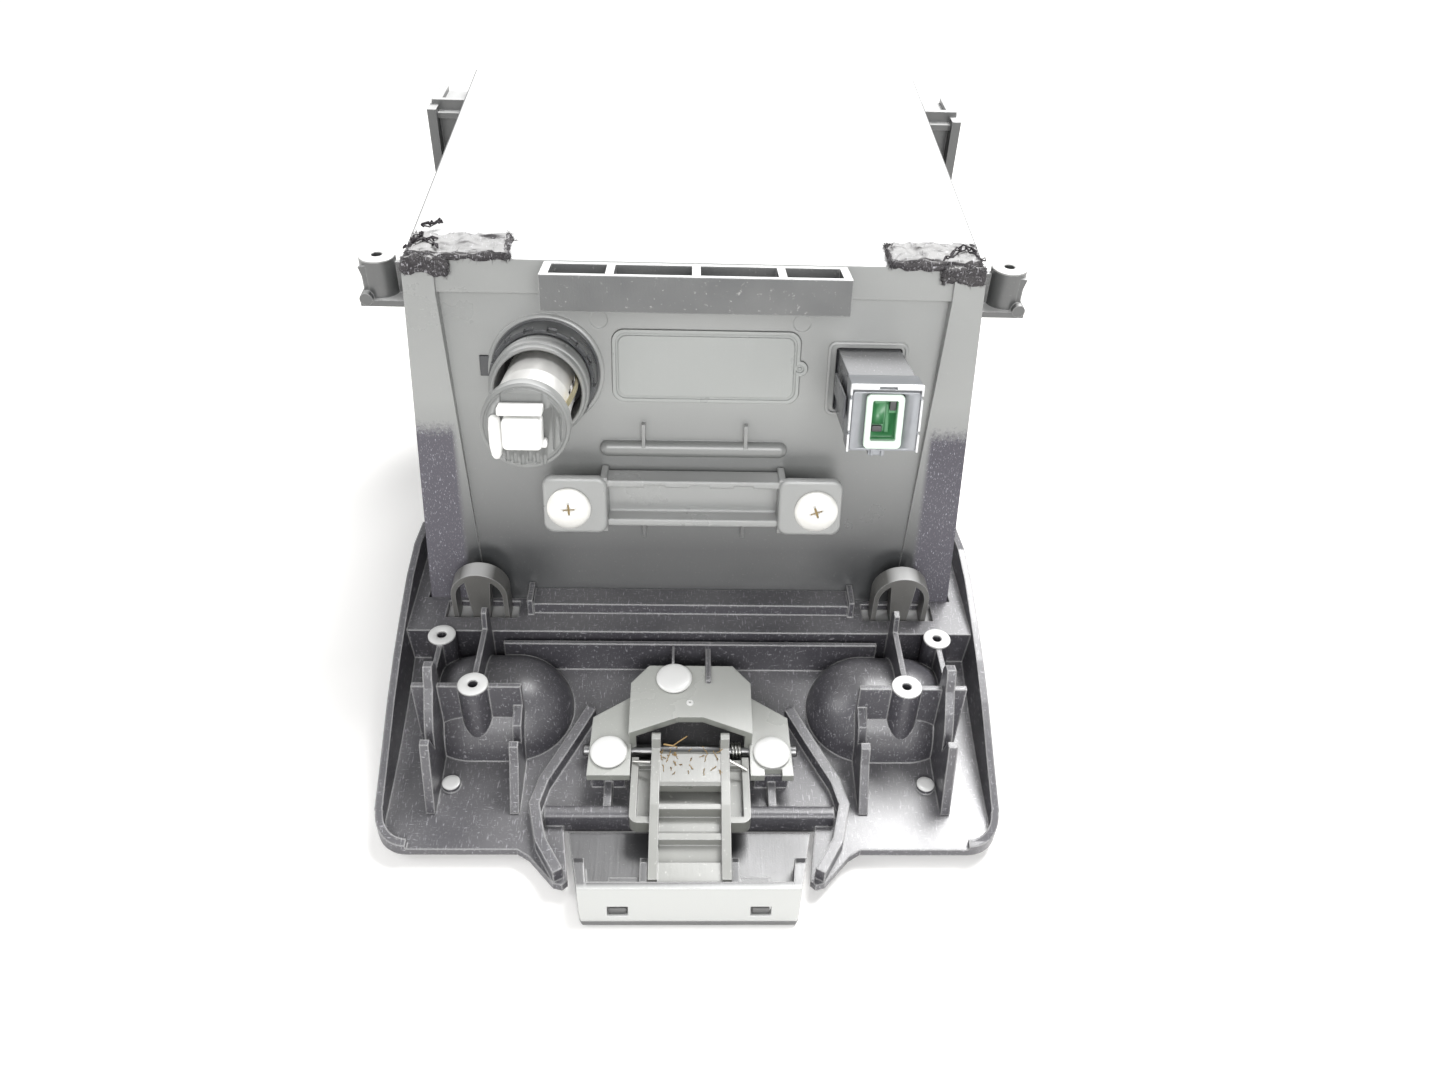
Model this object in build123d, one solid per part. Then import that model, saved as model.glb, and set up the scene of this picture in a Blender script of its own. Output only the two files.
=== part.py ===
from build123d import *
import math
import os

# Storage bin of a car's centre console with its face panel, lying face down.
# Millimetres. +X is to the right of the socket wall as it is looked at, +Y runs
# from the release handle to the rear of the bin, +Z is up. Every piece is
# modelled about the symmetry plane X = 0 and moved once, at the end, so that
# the origin is the middle of the bottom of the whole part.

# Storage bin, upside down: its mouth is on the ground and its base is on top
bin_wall = 2.8                # moulded wall of the bin
bin_half_top = 91.8           # half the width at the top edge of the socket wall
bin_half_mouth = 95.4         # half the width at the mouth
wall_top_y = -13.9            # top edge of the socket wall
wall_top_z = 153.0
wall_lean = 11.0              # degrees that the socket wall leans to the rear
base_rise = 3.6               # degrees that the base rises to the rear
bin_rear_y = 143.5            # rear edge of the base
rear_draft = 1.5              # degrees of draft on the rear wall
base_fillet = 1.2
rim_width = 5.0               # flange round the mouth
rim_thick = 2.5
rim_front_y = 2.0

# Recessed panel in the socket wall, deep at the top and fading out downwards
panel_depth = 4.4
panel_top = 10.4              # distance down the wall to the panel's upper edge
panel_length = 108.0
panel_half_top = 82.0
panel_half_low = 74.6
band_depth = 1.4              # shallow recess above the panel, between the cheeks

# Slotted ledge on the top edge of the socket wall
ledge_half = 47.6
ledge_out = 14.0
ledge_high = 11.3
ledge_wall = 2.2
ledge_floor = 1.6
ledge_back = 1.0              # from the wall's face to the pockets
ledge_web = 2.6
ledge_inner_slot = 23.8

# Screw ears beside the top edge of the socket wall
ear_out = 9.8                  # from the bin's top edge to the middle of the screw boss
ear_x = bin_half_top + ear_out
ear_y = -4.5
ear_top_z = 150.0
ear_radius = 5.8
ear_height = 12.4
ear_hole = 1.7
ear_plate = 2.2
ear_margin = 15.6             # from the bin's top edge to the end of the ear
ear_reach = bin_half_top + ear_margin

# Guide wings at the rear of the bin
wing_front_y = 119.0
wing_back_y = 143.0
wing_margin = 15.2            # from the bin's top edge to the outer plate
wing_reach = bin_half_top + wing_margin
wing_thick = 3.6
wing_top_z = 156.0
wing_low_z = 96.0

# 12 volt socket; places on the socket panel are (across, down from the top edge)
socket_x = -49.0
socket_down = 36.8
socket_hole = 18.2            # radius of the hole in the panel
key_width = 7.0
key_reach = 3.4
ring_radius = 17.0            # screwed retaining ring, outside
ring_wall = 1.5
ring_out = 11.0
ring_notches = 14
bezel_wall = 1.7
bezel_out = 22.5
bezel_flange = 19.8
flange_thick = 2.0
barrel_radius = 11.4          # metal barrel of the socket, outside
barrel_wall = 0.9
barrel_out = 48.5
seat_radius = 8.5             # narrower seat of the contact at the barrel's end
seat_deep = 4.3
end_thick = 1.2
cap_radius = 13.1
cap_thick = 3.4
contact_radius = 4.0
connector_wide = 12.6
connector_high = 12.4
connector_out = 6.0
fit_gap = 0.15                # clearance between pieces that slide together

# Blanking plate between the sockets
blank_x = 3.8
blank_down = 34.6
blank_wide = 62.0
blank_high = 24.6
blank_corner = 4.0
blank_flange = 1.6
blank_thick = 1.6
groove_in = 1.2               # from the plate's edge to its groove
groove_wide = 0.8
mark_radius = 2.9             # ejector marks beside the plate
mark_down = 19.3

# USB and AUX unit
usb_x = 57.6
usb_down = 38.0
usb_wide = 21.6
usb_high = 21.2
usb_out = 37.0
usb_inside = 9.0
usb_wall = 1.4
usb_shell = 0.5
usb_shell_length = 9.0
plug_wide = 12.0
plug_high = 16.2
plug_proud = 1.3
plug_deep = 10.0
plug_wall = 1.7
pin_side = 0.8

# Bracket screwed across the socket wall
bracket_half = 50.6
bracket_top = 69.5
bracket_low = 90.2
bracket_out = 12.8            # from the panel to the face of the tabs
tab_wide = 21.6
tab_wall = 2.2
tab_round = 1.2
sleeve_radius = 5.2           # sleeves of the tabs, round the screws
bar_half = 29.0
bar_thick = 2.4
bar_deep = 8.0
bar_gap = 12.3
pad_top = 60.8
pad_out = 3.0
pad_high = 5.4
pad_half = 32.0
pad_round = 2.2
screw_x = 41.9
screw_down = 80.7
screw_head = 7.4
screw_head_high = 2.6
screw_shank = 2.1
screw_length = 15.2           # under the head
screw_socket = 1.2

# Face panel, which lies face down in front of the bin
panel_thick = 3.0
face_margin = 8.0             # side of the panel beyond the bin's mouth
face_half = bin_half_mouth + face_margin
face_foot_in = 2.2            # the side walls lean out by this from foot to top
flange_top_z = 41.2
face_near_y = -126.6
face_corner = 11.0
floor_near_z = 7.2            # top of the floor at the near edge
pin_mark_in = 24.0            # ejector pin's mark, from the panel's side
pin_mark_near = 23.6          # and from its near edge
pin_mark_radius = 2.95
pin_mark_high = 4.4
floor_mid_y = -88.0
floor_mid_z = 10.2
floor_far_y = -54.0
floor_far_z = 18.6
side_wall = 2.5
side_far_y = -3.0
shelf_z = 32.2
shelf_front_y = -54.6
shelf_thick = 2.6
lip_y = -58.6                 # thin lip in front of the shelf
lip_z = 30.0
lip_thick = 1.6
lip_half = 66.0
rail_half = 58.6              # rail along the foot of the socket wall
rail_z = 36.6
rail_front_y = -45.2
notch_half_near = 38.0        # opening for the release handle
notch_half_far = 41.0
notch_far_y = -118.0
tongue_tip_y = -139.4
tongue_half = 55.0
roll_z = 11.7                 # rolled edge behind the opening
roll_thick = 5.0
ridge_thick = 3.4
ridge_high = 5.0
ridge_round = 1.2
roll_round = 2.0

# Bosses, ribs and domes of the face panel, mirrored left and right
front_boss_x = 71.2
front_boss_y = -87.0
front_boss_z = 40.0
rear_boss_x = 87.0
rear_boss_y = -58.6
rear_boss_z = 34.0
boss_radius = 5.0
boss_hole = 1.5
boss_hole_deep = 16.0
rib_thick = 1.8
fin_thick = 3.0
fin_outer_x = 84.4
fin_inner_x = 57.2
dome_x = 61.0
dome_y = -73.6
dome_radius = 20.4
dome_base_z = 10.2
dome_wall = 2.4
dome_stretch = 13.0

# Latch: its frame is tilted with the panel's floor
latch_y = -97.4
latch_z = 18.6
latch_tilt = 5.0
plate_thick = 3.0
block_half = 20.6
block_rise = 6.2
block_front = 3.2
arch_deep = 6.6               # notch of the block's front edge
arch_half = 4.2
block_back = 31.6
wing_plate_half = 34.0
wing_plate_front = -9.0
wing_inner_half = 19.8
stake_radius = 6.0
stake_high = 1.0
stem_radius = 2.8
stake_x = 27.1
top_stake_x = -5.8
top_stake_y = 25.6
pivot_back = 4.0              # pivot pin, behind the latch frame's origin
pin_radius = 2.0
pin_half = 36.2
pin_gap = 0.06                # running clearance of the lever on the pin
post_half_wide = 5.6

# Latch lever and release handle
rail_outer = 12.8
lever_rail = 2.9
hub_radius = 3.6
tip_z = 26.0
basket_half = 19.4
basket_wall = 2.3
basket_back_y = -98.6
basket_near_y = -124.4
basket_floor_z = 12.1
basket_top_z = 17.4
lever_near_y = -142.9
handle_half_far = 39.4
handle_half_near = 33.2
handle_far_y = -119.8
handle_side_far_y = -133.0    # far end of the trough's side walls
handle_corner = 4.0
handle_low_y = -149.7
handle_top_y = -145.7
handle_top_z = 14.0
handle_low_z = 0.5
handle_wall = 2.4
trim_thick = 1.4
slot_mid_x = 21.9
slot_wide = 6.4
slot_low_z = 3.9
slot_high_z = 7.3
peg_radius = 1.6
peg_y = -139.4
peg_z = 10.0
running_gap = 0.3             # clearance between pieces that move past each other

# Torsion spring on the pivot pin
wire_radius = 0.5
spring_turns = 3.0
spring_pitch = 1.15
spring_x = 13.7

# Trim clips that hold the panel to the bin
clip_x = 75.0
clip_y = -43.6
clip_wide = 19.8
clip_top_z = 51.6
clip_depth = 7.0
clip_strap = 1.7
clip_tongue_half = 4.6
clip_hole_half_x = 12.8
clip_hole_half_y = 4.2
clip_foot_thick = 1.8

handle_reach = 60.0           # beyond the handle's sides, before its plan cuts it
far_out = 200.0               # beyond every piece, for cutting blocks
clear_height = 80.0           # above every piece of the face panel
keep_top = 90.0               # the panel is kept clear of the bin up to here

# Felt strips glued on the two front corners of the base
felt_long = 27.0
felt_wide = 13.0
felt_thick = 1.3


def mirrored(shape):
    """The same shape on the other side of the symmetry plane."""
    return shape.mirror(Plane.YZ)


def both_sides(shape):
    return shape + mirrored(shape)


def block(x0, x1, y0, y1, z0, z1):
    """A box between two corners."""
    size = Box(x1 - x0, y1 - y0, z1 - z0)
    return Pos((x0 + x1) / 2, (y0 + y1) / 2, (z0 + z1) / 2) * size


def side_extrude(points, x0, x1):
    """A profile in the YZ plane, pushed from x0 to x1."""
    outline = make_face(Polyline(*[(0, y, z) for y, z in points], close=True))
    return Pos(x0, 0, 0) * extrude(outline, amount=x1 - x0, dir=(1, 0, 0))


def cross_rod(radius, x0, x1, y, z):
    """A round rod along X."""
    rod = Cylinder(radius, x1 - x0)
    return Pos((x0 + x1) / 2, y, z) * Rot(0, 90, 0) * rod


def lean_prism(inset):
    """Everything between the leaning side walls of the face panel."""
    rise = face_foot_in / (flange_top_z - floor_near_z)
    low = face_half - rise * flange_top_z - inset
    high = face_half + rise * flange_top_z - inset
    across = [(low, 0), (high, 2 * flange_top_z), (-high, 2 * flange_top_z), (-low, 0)]
    front = make_face(Polyline(*[(x, 0, z) for x, z in across], close=True))
    return extrude(front, amount=far_out, dir=(0, 1, 0), both=True)


def front_y(z):
    """Outer face of the socket wall at a height."""
    return wall_top_y - (wall_top_z - z) * math.tan(math.radians(wall_lean))


def base_z(y):
    """Outer face of the base."""
    return wall_top_z + (y - wall_top_y) * math.tan(math.radians(base_rise))


def rear_y(z):
    """Outer face of the rear wall."""
    return bin_rear_y + (base_z(bin_rear_y) - z) * math.tan(math.radians(rear_draft))


lean_sin = math.sin(math.radians(wall_lean))
lean_cos = math.cos(math.radians(wall_lean))
wall_plane = Plane(origin=(0, wall_top_y, wall_top_z), x_dir=(1, 0, 0),
                   z_dir=(0, -lean_cos, lean_sin))
panel_angle = math.degrees(math.atan2(panel_depth, panel_length))
panel_plane = wall_plane.offset(-panel_depth - panel_top * math.tan(math.radians(panel_angle)))
panel_location = panel_plane.location * Rot(-panel_angle, 0, 0)
latch_location = Location((0, latch_y, latch_z)) * Rot(latch_tilt, 0, 0)


def on_panel(shape):
    """Put a piece modelled on the XY plane on the recessed socket panel."""
    return panel_location * shape


def in_latch(shape):
    """Put a piece modelled about the latch frame on the tilted latch."""
    return latch_location * shape


def latch_point(y, z):
    """World Y and Z of a point of the latch frame."""
    place = latch_location * Pos(0, y, z)
    return place.position.Y, place.position.Z


pivot_y, pivot_z = latch_point(pivot_back, -plate_thick - pin_radius)


def bin_envelope(inset, mouth_z):
    """The bin's outer form, or its hollow when it is inset by the wall."""
    top = base_z(bin_rear_y)
    points = [(front_y(mouth_z), mouth_z), (wall_top_y, wall_top_z),
              (bin_rear_y, top), (rear_y(mouth_z), mouth_z)]
    profile = make_face(Polyline(*[(0, y, z) for y, z in points], close=True))
    slope = (bin_half_mouth - bin_half_top) / wall_top_z
    half_low = bin_half_mouth - slope * mouth_z
    half_high = bin_half_mouth - slope * top
    across = [(half_low, mouth_z), (half_high, top), (-half_high, top), (-half_low, mouth_z)]
    front = make_face(Polyline(*[(x, 0, z) for x, z in across], close=True))
    if inset > 0:
        profile = offset(profile, amount=-inset, kind=Kind.INTERSECTION)
        front = offset(front, amount=-inset, kind=Kind.INTERSECTION)
    long = extrude(profile, amount=2 * bin_half_mouth, dir=(1, 0, 0), both=True)
    wide = extrude(front, amount=3 * bin_rear_y, dir=(0, 1, 0), both=True)
    return long & wide


def panel_wedge(grow, back):
    """The recess in the socket wall; grown, it is the bump behind it."""
    top = -panel_top + grow
    low = -panel_top - panel_length
    depth = [(top, 1.0), (top, -panel_depth - back), (low, -back), (low, 1.0)]
    outline = make_face(Polyline(*[(0, y, z) for y, z in depth], close=True))
    slab = extrude(outline, amount=2 * panel_half_top, dir=(1, 0, 0), both=True)
    edge_top = panel_half_top + grow
    edge_low = panel_half_low + grow
    plan = Polyline((-edge_top, top), (edge_top, top), (edge_low, low), (-edge_low, low), close=True)
    prism = extrude(make_face(plan), amount=4 * panel_depth + back, both=True)
    return wall_plane.location * (slab & prism)


def panel_cut(sketch):
    """A cut-out through the socket panel."""
    return on_panel(extrude(sketch, amount=2.5 * bin_wall, both=True))


def socket_opening():
    hole = Circle(socket_hole)
    key = Pos(-socket_hole - key_reach / 2 + 1, 1.5) * Rectangle(key_reach + 2, key_width)
    return Pos(socket_x, -socket_down) * (hole + key)


def blank_opening(grow=0.0):
    wide = blank_wide + 2 * grow
    high = blank_high + 2 * grow
    plate = RectangleRounded(wide, high, blank_corner + grow * 0.6)
    key = Pos(blank_wide / 2, 0) * Circle(max(2.6 + grow, 0.4))
    return Pos(blank_x, -blank_down) * (plate + key)


def usb_opening(grow=0.0):
    frame = RectangleRounded(usb_wide + 2 * grow, usb_high + 2 * grow, 0.8 + grow)
    return Pos(usb_x, -usb_down) * frame


def locating_ledge():
    """Box rib with four pockets open to the top."""
    body = Pos(0, -ledge_high / 2, (ledge_out - band_depth) / 2)
    body *= Box(2 * ledge_half, ledge_high, ledge_out + band_depth)
    outer_slot = ledge_half - ledge_web - ledge_inner_slot - 1.5 * ledge_web
    left = ledge_web / 2
    deep = ledge_out - ledge_wall - ledge_back
    for wide in (ledge_inner_slot, outer_slot):
        pocket = Box(wide, ledge_high - ledge_floor, deep)
        place = Pos(left + wide / 2, -(ledge_high - ledge_floor) / 2, ledge_back + deep / 2)
        body -= place * pocket
        body -= mirrored(place * pocket)
        left += wide + ledge_web
    return wall_plane.location * body


def ear():
    """Screw boss on a plate beside the top of the socket wall."""
    low = ear_top_z - ear_height
    boss = Pos(ear_x, ear_y, ear_top_z - ear_height / 2) * Cylinder(ear_radius, ear_height)
    plate = block(bin_half_top - 1.0, ear_reach, ear_y - 7, ear_y + 8, low - ear_plate, low)
    web = block(bin_half_top - 1.0, ear_x, ear_y - 1, ear_y + 1, low - 0.5, ear_top_z - 2)
    drop = Pos(ear_reach - 2.1, ear_y - 5.0, low + 0.4) * Rot(90, 0, 0) * Cylinder(2.1, 5.0)
    fin = make_face(Polyline(*[(x, ear_y - 3.9, z) for x, z in (
        (ear_x + 1.0, low), (ear_x + 1.0, ear_top_z - 1.2), (ear_x + 5.2, ear_top_z - 2.0),
        (ear_x + 4.3, low + 7.0), (ear_x + 4.2, low + 3.6), (ear_reach - 1.0, low + 1.6),
        (ear_reach - 1.0, low))], close=True))
    hook = drop + extrude(fin, amount=1.2, dir=(0, -1, 0))
    hole = Pos(ear_x, ear_y, ear_top_z - 5) * Cylinder(ear_hole, 12)
    return boss + plate + web + hook - hole - bin_envelope(0, 0)


def guide_wing():
    """Rear guide: an outer plate held off the side wall by a cross plate."""
    outer = block(wing_reach - wing_thick, wing_reach, wing_front_y - 6, wing_back_y,
                  wing_low_z, wing_top_z)
    cross = block(bin_half_top - 1.0, wing_reach - 1, wing_front_y, wing_front_y + 2.4,
                  wing_low_z - 8, wing_top_z + 2)
    shelf = block(bin_half_top - 1.0, wing_reach - 1, wing_front_y - 3, wing_back_y,
                  wing_top_z - 4.4, wing_top_z - 2.2)
    return outer + cross + shelf - bin_envelope(0, 0)


def mouth_rim():
    """Flange round the mouth, behind the face panel."""
    outer = block(-bin_half_mouth - rim_width, bin_half_mouth + rim_width, rim_front_y,
                  rear_y(0) + rim_width, 0, rim_thick)
    corners = outer.edges().filter_by(Axis.Z).group_by(Axis.Y)[-1]
    return fillet(corners, radius=8) - bin_envelope(bin_wall, -20)


def wall_pad():
    """Rounded bar on the socket wall above the bracket."""
    pad = Pos(0, 0, -0.5) * extrude(SlotOverall(2 * pad_half, pad_high), amount=pad_out + 0.5)
    pad = fillet(pad.edges().group_by(Axis.Z)[-1], radius=pad_round)
    return on_panel(Pos(0, -pad_top - pad_high / 2, 0) * pad)


def wall_marks():
    """Screw holes of the bracket and two shallow ejector marks."""
    hole = Pos(screw_x, -screw_down, 0) * Cylinder(screw_shank, 3 * bin_wall)
    marks = both_sides(hole)
    for x in (blank_x - blank_wide * 0.566, blank_x + blank_wide / 2):
        marks += Pos(x, -mark_down, 0) * Cylinder(mark_radius, 0.5)
    return on_panel(marks)


def panel_ribs():
    """Short stiffening fins above and below the bracket."""
    fins = Part()
    for x in (-17.0, 17.6):
        fins += Pos(x, -58.2, 1.4) * Box(1.2, 8.2, 3.4)
        fins += Pos(x, -93.2, 1.2) * Box(1.2, 6.2, 2.4)
    return on_panel(fins)


def storage_bin():
    body = bin_envelope(0, 0)
    top_face = body.faces().sort_by(Axis.Z)[-1]
    body = fillet(top_face.edges(), radius=base_fillet)
    hollow = bin_envelope(bin_wall, -20) - panel_wedge(bin_wall, bin_wall)
    band = Pos(0, (5 - panel_top) / 2, (3 - band_depth) / 2)
    band *= Box(2 * panel_half_top, panel_top + 5, 3 + band_depth)
    body -= hollow
    body -= panel_wedge(0, 0)
    body -= wall_plane.location * band
    body += mouth_rim() + wall_pad() + panel_ribs()
    body -= wall_marks()
    body -= panel_cut(socket_opening()) + panel_cut(blank_opening(fit_gap))
    body -= panel_cut(usb_opening(fit_gap))
    return body


def socket_at(shape):
    """A piece of the socket, modelled about its own axis."""
    return on_panel(Pos(socket_x, -socket_down, 0) * shape)


bezel_radius = ring_radius - ring_wall - fit_gap
inner_face = -bin_wall - 0.05


def tube(outer, inner, z0, z1):
    ring = Circle(outer) - Circle(inner)
    return Pos(0, 0, z0) * extrude(ring, amount=z1 - z0)


def socket_retaining_ring():
    ring = tube(ring_radius, ring_radius - ring_wall, -1.5, ring_out)
    flange = tube(socket_hole - 0.1, ring_radius - 0.2, -1.5, 0.6)
    long = key_reach + 0.5
    tab = Pos(-socket_hole - key_reach + fit_gap + long / 2, 1.5, -0.45)
    ring += flange + tab * Box(long, key_width - 2 * fit_gap, 2.1)
    for step in range(ring_notches):
        turn = step * 360 / ring_notches
        notch = Pos(ring_radius, 0, ring_out - 1.5) * Box(1.6, 3.0, 4.0)
        ring -= Rot(0, 0, turn) * notch
    return socket_at(ring)


def socket_bezel():
    body = tube(bezel_radius, bezel_radius - bezel_wall, inner_face, bezel_out)
    body += tube(bezel_flange, bezel_radius - bezel_wall, inner_face - flange_thick, inner_face)
    spokes = Part()
    for turn in (45, 135, 225, 315):
        long = bezel_radius - bezel_wall + 0.6 - barrel_radius - fit_gap
        rib = Pos(barrel_radius + fit_gap + long / 2, 0, 6) * Box(long, 2.0, 12)
        spokes += Rot(0, 0, turn) * rib
    return socket_at(body + spokes)


def socket_barrel():
    """Barrel with a narrow seat for the contact in front of its closed end."""
    low = inner_face - flange_thick
    body = tube(barrel_radius, barrel_radius - barrel_wall, low, barrel_out)
    body += tube(barrel_radius, seat_radius, barrel_out - end_thick - seat_deep, barrel_out)
    body += Pos(0, 0, barrel_out - end_thick) * extrude(Circle(barrel_radius), amount=end_thick)
    body += tube(bezel_radius - bezel_wall - fit_gap, barrel_radius - 0.4, low, low + 1.6)
    body -= Pos(0, 0, barrel_out - 2) * extrude(Circle(1.6), amount=4)
    return socket_at(body)


def socket_contact():
    stem = Pos(0, 0, barrel_out - 3.6) * extrude(Circle(1.5), amount=3.6 + cap_thick - 0.8)
    dish = Pos(0, 0, barrel_out - 4.5) * extrude(Circle(contact_radius), amount=1.2)
    return socket_at(stem + dish)


def socket_end_cap():
    disc = Pos(0, 0, barrel_out) * extrude(Circle(cap_radius), amount=cap_thick)
    disc = chamfer(disc.edges().group_by(Axis.Z)[-1], length=0.7)
    disc -= Pos(0, 0, barrel_out - 1) * extrude(Circle(1.6), amount=cap_thick + 0.3)
    return socket_at(disc)


def socket_connector():
    low = barrel_out + cap_thick
    body = Pos(-0.6, 1.4, low + connector_out / 2)
    body *= Box(connector_wide, connector_high, connector_out)
    lip = Pos(-0.6, 1.4 - connector_high / 2 + 1.0, low + connector_out + 0.8)
    body += lip * Box(connector_wide, 2.0, 1.6)
    body -= Pos(-0.6, 2.4, low + connector_out) * Box(connector_wide - 3, connector_high - 5, 5)
    latch = Pos(-0.6 - connector_wide / 2 - 1.5, -1.0, low + 2.6) * Box(3.0, 15.0, 4.6)
    return socket_at(body + latch)


def blanking_plate():
    plate = extrude(blank_opening(0), amount=blank_thick)
    plate = Pos(0, 0, -blank_thick + 0.5) * plate
    groove = blank_opening(-groove_in) - blank_opening(-groove_in - groove_wide)
    plate -= Pos(0, 0, 0.1) * extrude(groove, amount=1)
    flange = extrude(blank_opening(blank_flange), amount=1.6)
    plate += Pos(0, 0, inner_face - 1.6) * flange
    plate += Pos(0, 0, inner_face - 0.2) * extrude(blank_opening(-1.2), amount=bin_wall - 0.6)
    return on_panel(plate)


def usb_at(shape):
    return on_panel(Pos(usb_x, -usb_down, 0) * shape)


def usb_housing():
    wide = usb_wide - 2 * usb_shell
    high = usb_high - 2 * usb_shell
    deep = usb_out + usb_inside
    body = Pos(0, 0, usb_out - deep / 2) * Box(wide, high, deep)
    flange = Pos(0, 0, inner_face - flange_thick / 2) * Box(usb_wide + 6, usb_high + 6, flange_thick)
    recess = Pos(0, -0.4, usb_out - plug_deep / 2)
    recess *= Box(plug_wide + 2 * fit_gap, plug_high + 2 * fit_gap, plug_deep)
    port = Pos(0, 4.5, -usb_inside + 5) * Box(12.4, 4.8, 10.2)
    jack = Pos(0, -4.5, -usb_inside + 5) * Cylinder(2.2, 10.2)
    return usb_at(body + flange - recess - port - jack)


def usb_clip_shell():
    """Thin sheet collar folded round the outer end of the unit."""
    wide = usb_wide - 2 * usb_shell
    high = usb_high - 2 * usb_shell
    inner = Rectangle(wide + 0.02, high + 0.02)
    outer = Rectangle(usb_wide, usb_high)
    collar = Pos(0, 0, usb_out - usb_shell_length) * extrude(outer - inner, amount=usb_shell_length)
    tab = Pos(-1.5, -usb_high / 2 - 0.9, usb_out - 2.0) * Box(5.0, 1.8, 2.4)
    window = Pos(usb_wide / 2, 0, usb_out - 4) * Box(3, 5, 3)
    return usb_at(collar + tab - window)


def usb_connector():
    frame = Rectangle(plug_wide, plug_high) - Rectangle(plug_wide - 2 * plug_wall, plug_high - 2 * plug_wall)
    body = extrude(frame, amount=plug_deep + plug_proud)
    body += extrude(Rectangle(plug_wide, plug_high), amount=2.0)
    key = Pos(0, plug_high / 2 - plug_wall - 0.6, 4) * Box(4.0, 1.4, 8.0)
    return usb_at(Pos(0, -0.4, usb_out - plug_deep) * (body + key))


def usb_pins():
    pins = Part()
    for row in (-2.6, 2.0):
        for column in range(4):
            x = (column - 1.5) * 2.4
            pins += Pos(x, row - 0.4, usb_out - plug_deep + 4.5) * Box(pin_side, pin_side, 5.0)
    return usb_at(pins)


def cross_bracket():
    """Two screwed tabs on sleeves, joined by an upper and a lower bar."""
    high = bracket_low - bracket_top
    mid = -(bracket_low + bracket_top) / 2
    tab = extrude(RectangleRounded(tab_wide, high, 3.4), amount=tab_wall)
    tab = fillet(tab.edges().group_by(Axis.Z)[-1], radius=tab_round)
    tab = Pos(bracket_half - tab_wide / 2, mid, bracket_out - tab_wall) * tab
    side_long = bracket_out - tab_round - 0.8
    side = Pos(bracket_half - tab_wide + 1.1, mid, 0.8 + side_long / 2) * Box(2.2, high - 0.8, side_long)
    sleeve_long = bracket_out - tab_wall + 0.5
    sleeve = Pos(screw_x, -screw_down, sleeve_long / 2) * Cylinder(sleeve_radius, sleeve_long)
    hole = Pos(screw_x, -screw_down, bracket_out / 2) * Cylinder(screw_shank + 0.4, bracket_out + 4)
    body = both_sides(tab + side + sleeve - hole)
    upper = Pos(0, -bracket_top - 1.6 - bar_thick / 2, bracket_out - 1.6 - bar_deep / 2)
    upper *= Box(2 * bar_half, bar_thick, bar_deep)
    lower = Pos(0, -bracket_top - 1.6 - bar_thick * 1.5 - bar_gap, bracket_out - 2.6 - bar_deep / 2)
    lower *= Box(2 * bar_half, bar_thick, bar_deep)
    back = Pos(0, -bracket_top - 1.6 - bar_thick - bar_gap / 2, bracket_out - 2.0 - bar_deep)
    back *= Box(2 * bar_half, bar_gap + 2 * bar_thick, 1.4)
    for x in (-13.0, 2.0, 17.0):
        upper -= Pos(x, -bracket_top - 1.6 - bar_thick, bracket_out - 4) * Box(7.0, 1.6, 6)
    return on_panel(body + upper + lower + back)


def bracket_screw(side):
    """Cross-head screw through a tab's sleeve into the wall."""
    washer = extrude(Circle(screw_head), amount=0.9)
    dome = Pos(0, 0, 0.9) * (extrude(Circle(screw_head - 1.6), amount=screw_head_high - 0.9))
    dome = fillet(dome.edges().group_by(Axis.Z)[-1], radius=1.0)
    shank = Pos(0, 0, -screw_length) * extrude(Circle(screw_shank), amount=screw_length)
    cross = Box(5.6, screw_socket, 3.0) + Box(screw_socket, 5.6, 3.0)
    cross = Pos(0, 0, screw_head_high) * Rot(0, 0, 20) * cross
    body = washer + dome + shank - cross
    return on_panel(Pos(side * screw_x, -screw_down, bracket_out) * body)


floor_arc = ThreePointArc((0, face_near_y - 20, floor_near_z - 1.2), (0, floor_mid_y, floor_mid_z),
                          (0, floor_far_y, floor_far_z))


def floor_z(y):
    """Top of the face panel's floor."""
    hit = floor_arc.intersect(Plane(origin=(0, y, 0), z_dir=(0, 1, 0)))
    point = hit if hasattr(hit, "Z") else hit[0]
    return point.Z


def floor_band():
    """The curved floor of the face panel as a band, as wide as the panel."""
    lower = floor_arc.moved(Location((0, 0, -panel_thick)))
    band = make_face(Wire([floor_arc, Line(floor_arc @ 1, lower @ 1), lower,
                           Line(lower @ 0, floor_arc @ 0)]))
    return extrude(band, amount=face_half, dir=(1, 0, 0), both=True)


def above_floor(top_z):
    """Everything between the outer face of the floor and a height."""
    lower = floor_arc.moved(Location((0, 0, -panel_thick / 2)))
    end = lower @ 1
    start = lower @ 0
    up = Polyline((0, end.Y, end.Z), (0, end.Y, top_z), (0, start.Y, top_z), (0, start.Y, start.Z))
    return extrude(make_face(Wire([lower] + up.edges())), amount=face_half, dir=(1, 0, 0), both=True)


face_foot = face_half - face_foot_in


def face_outline():
    """Plan of the face panel, with the two tongues beside the handle."""
    half = Polyline((0, notch_far_y), (notch_half_far, notch_far_y),
                    (notch_half_near, tongue_tip_y + 1.6), (notch_half_near + 1.6, tongue_tip_y),
                    (notch_half_near + 4.6, tongue_tip_y + 0.8), (tongue_half - 4, face_near_y - 2.5),
                    (tongue_half, face_near_y), (face_foot - face_corner, face_near_y),
                    (face_foot, face_near_y + face_corner), (face_half, floor_far_y), (0, floor_far_y),
                    close=True)
    corner = Pos(face_foot - face_corner, face_near_y + face_corner) * Circle(face_corner)
    return make_face(half) + corner


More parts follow.
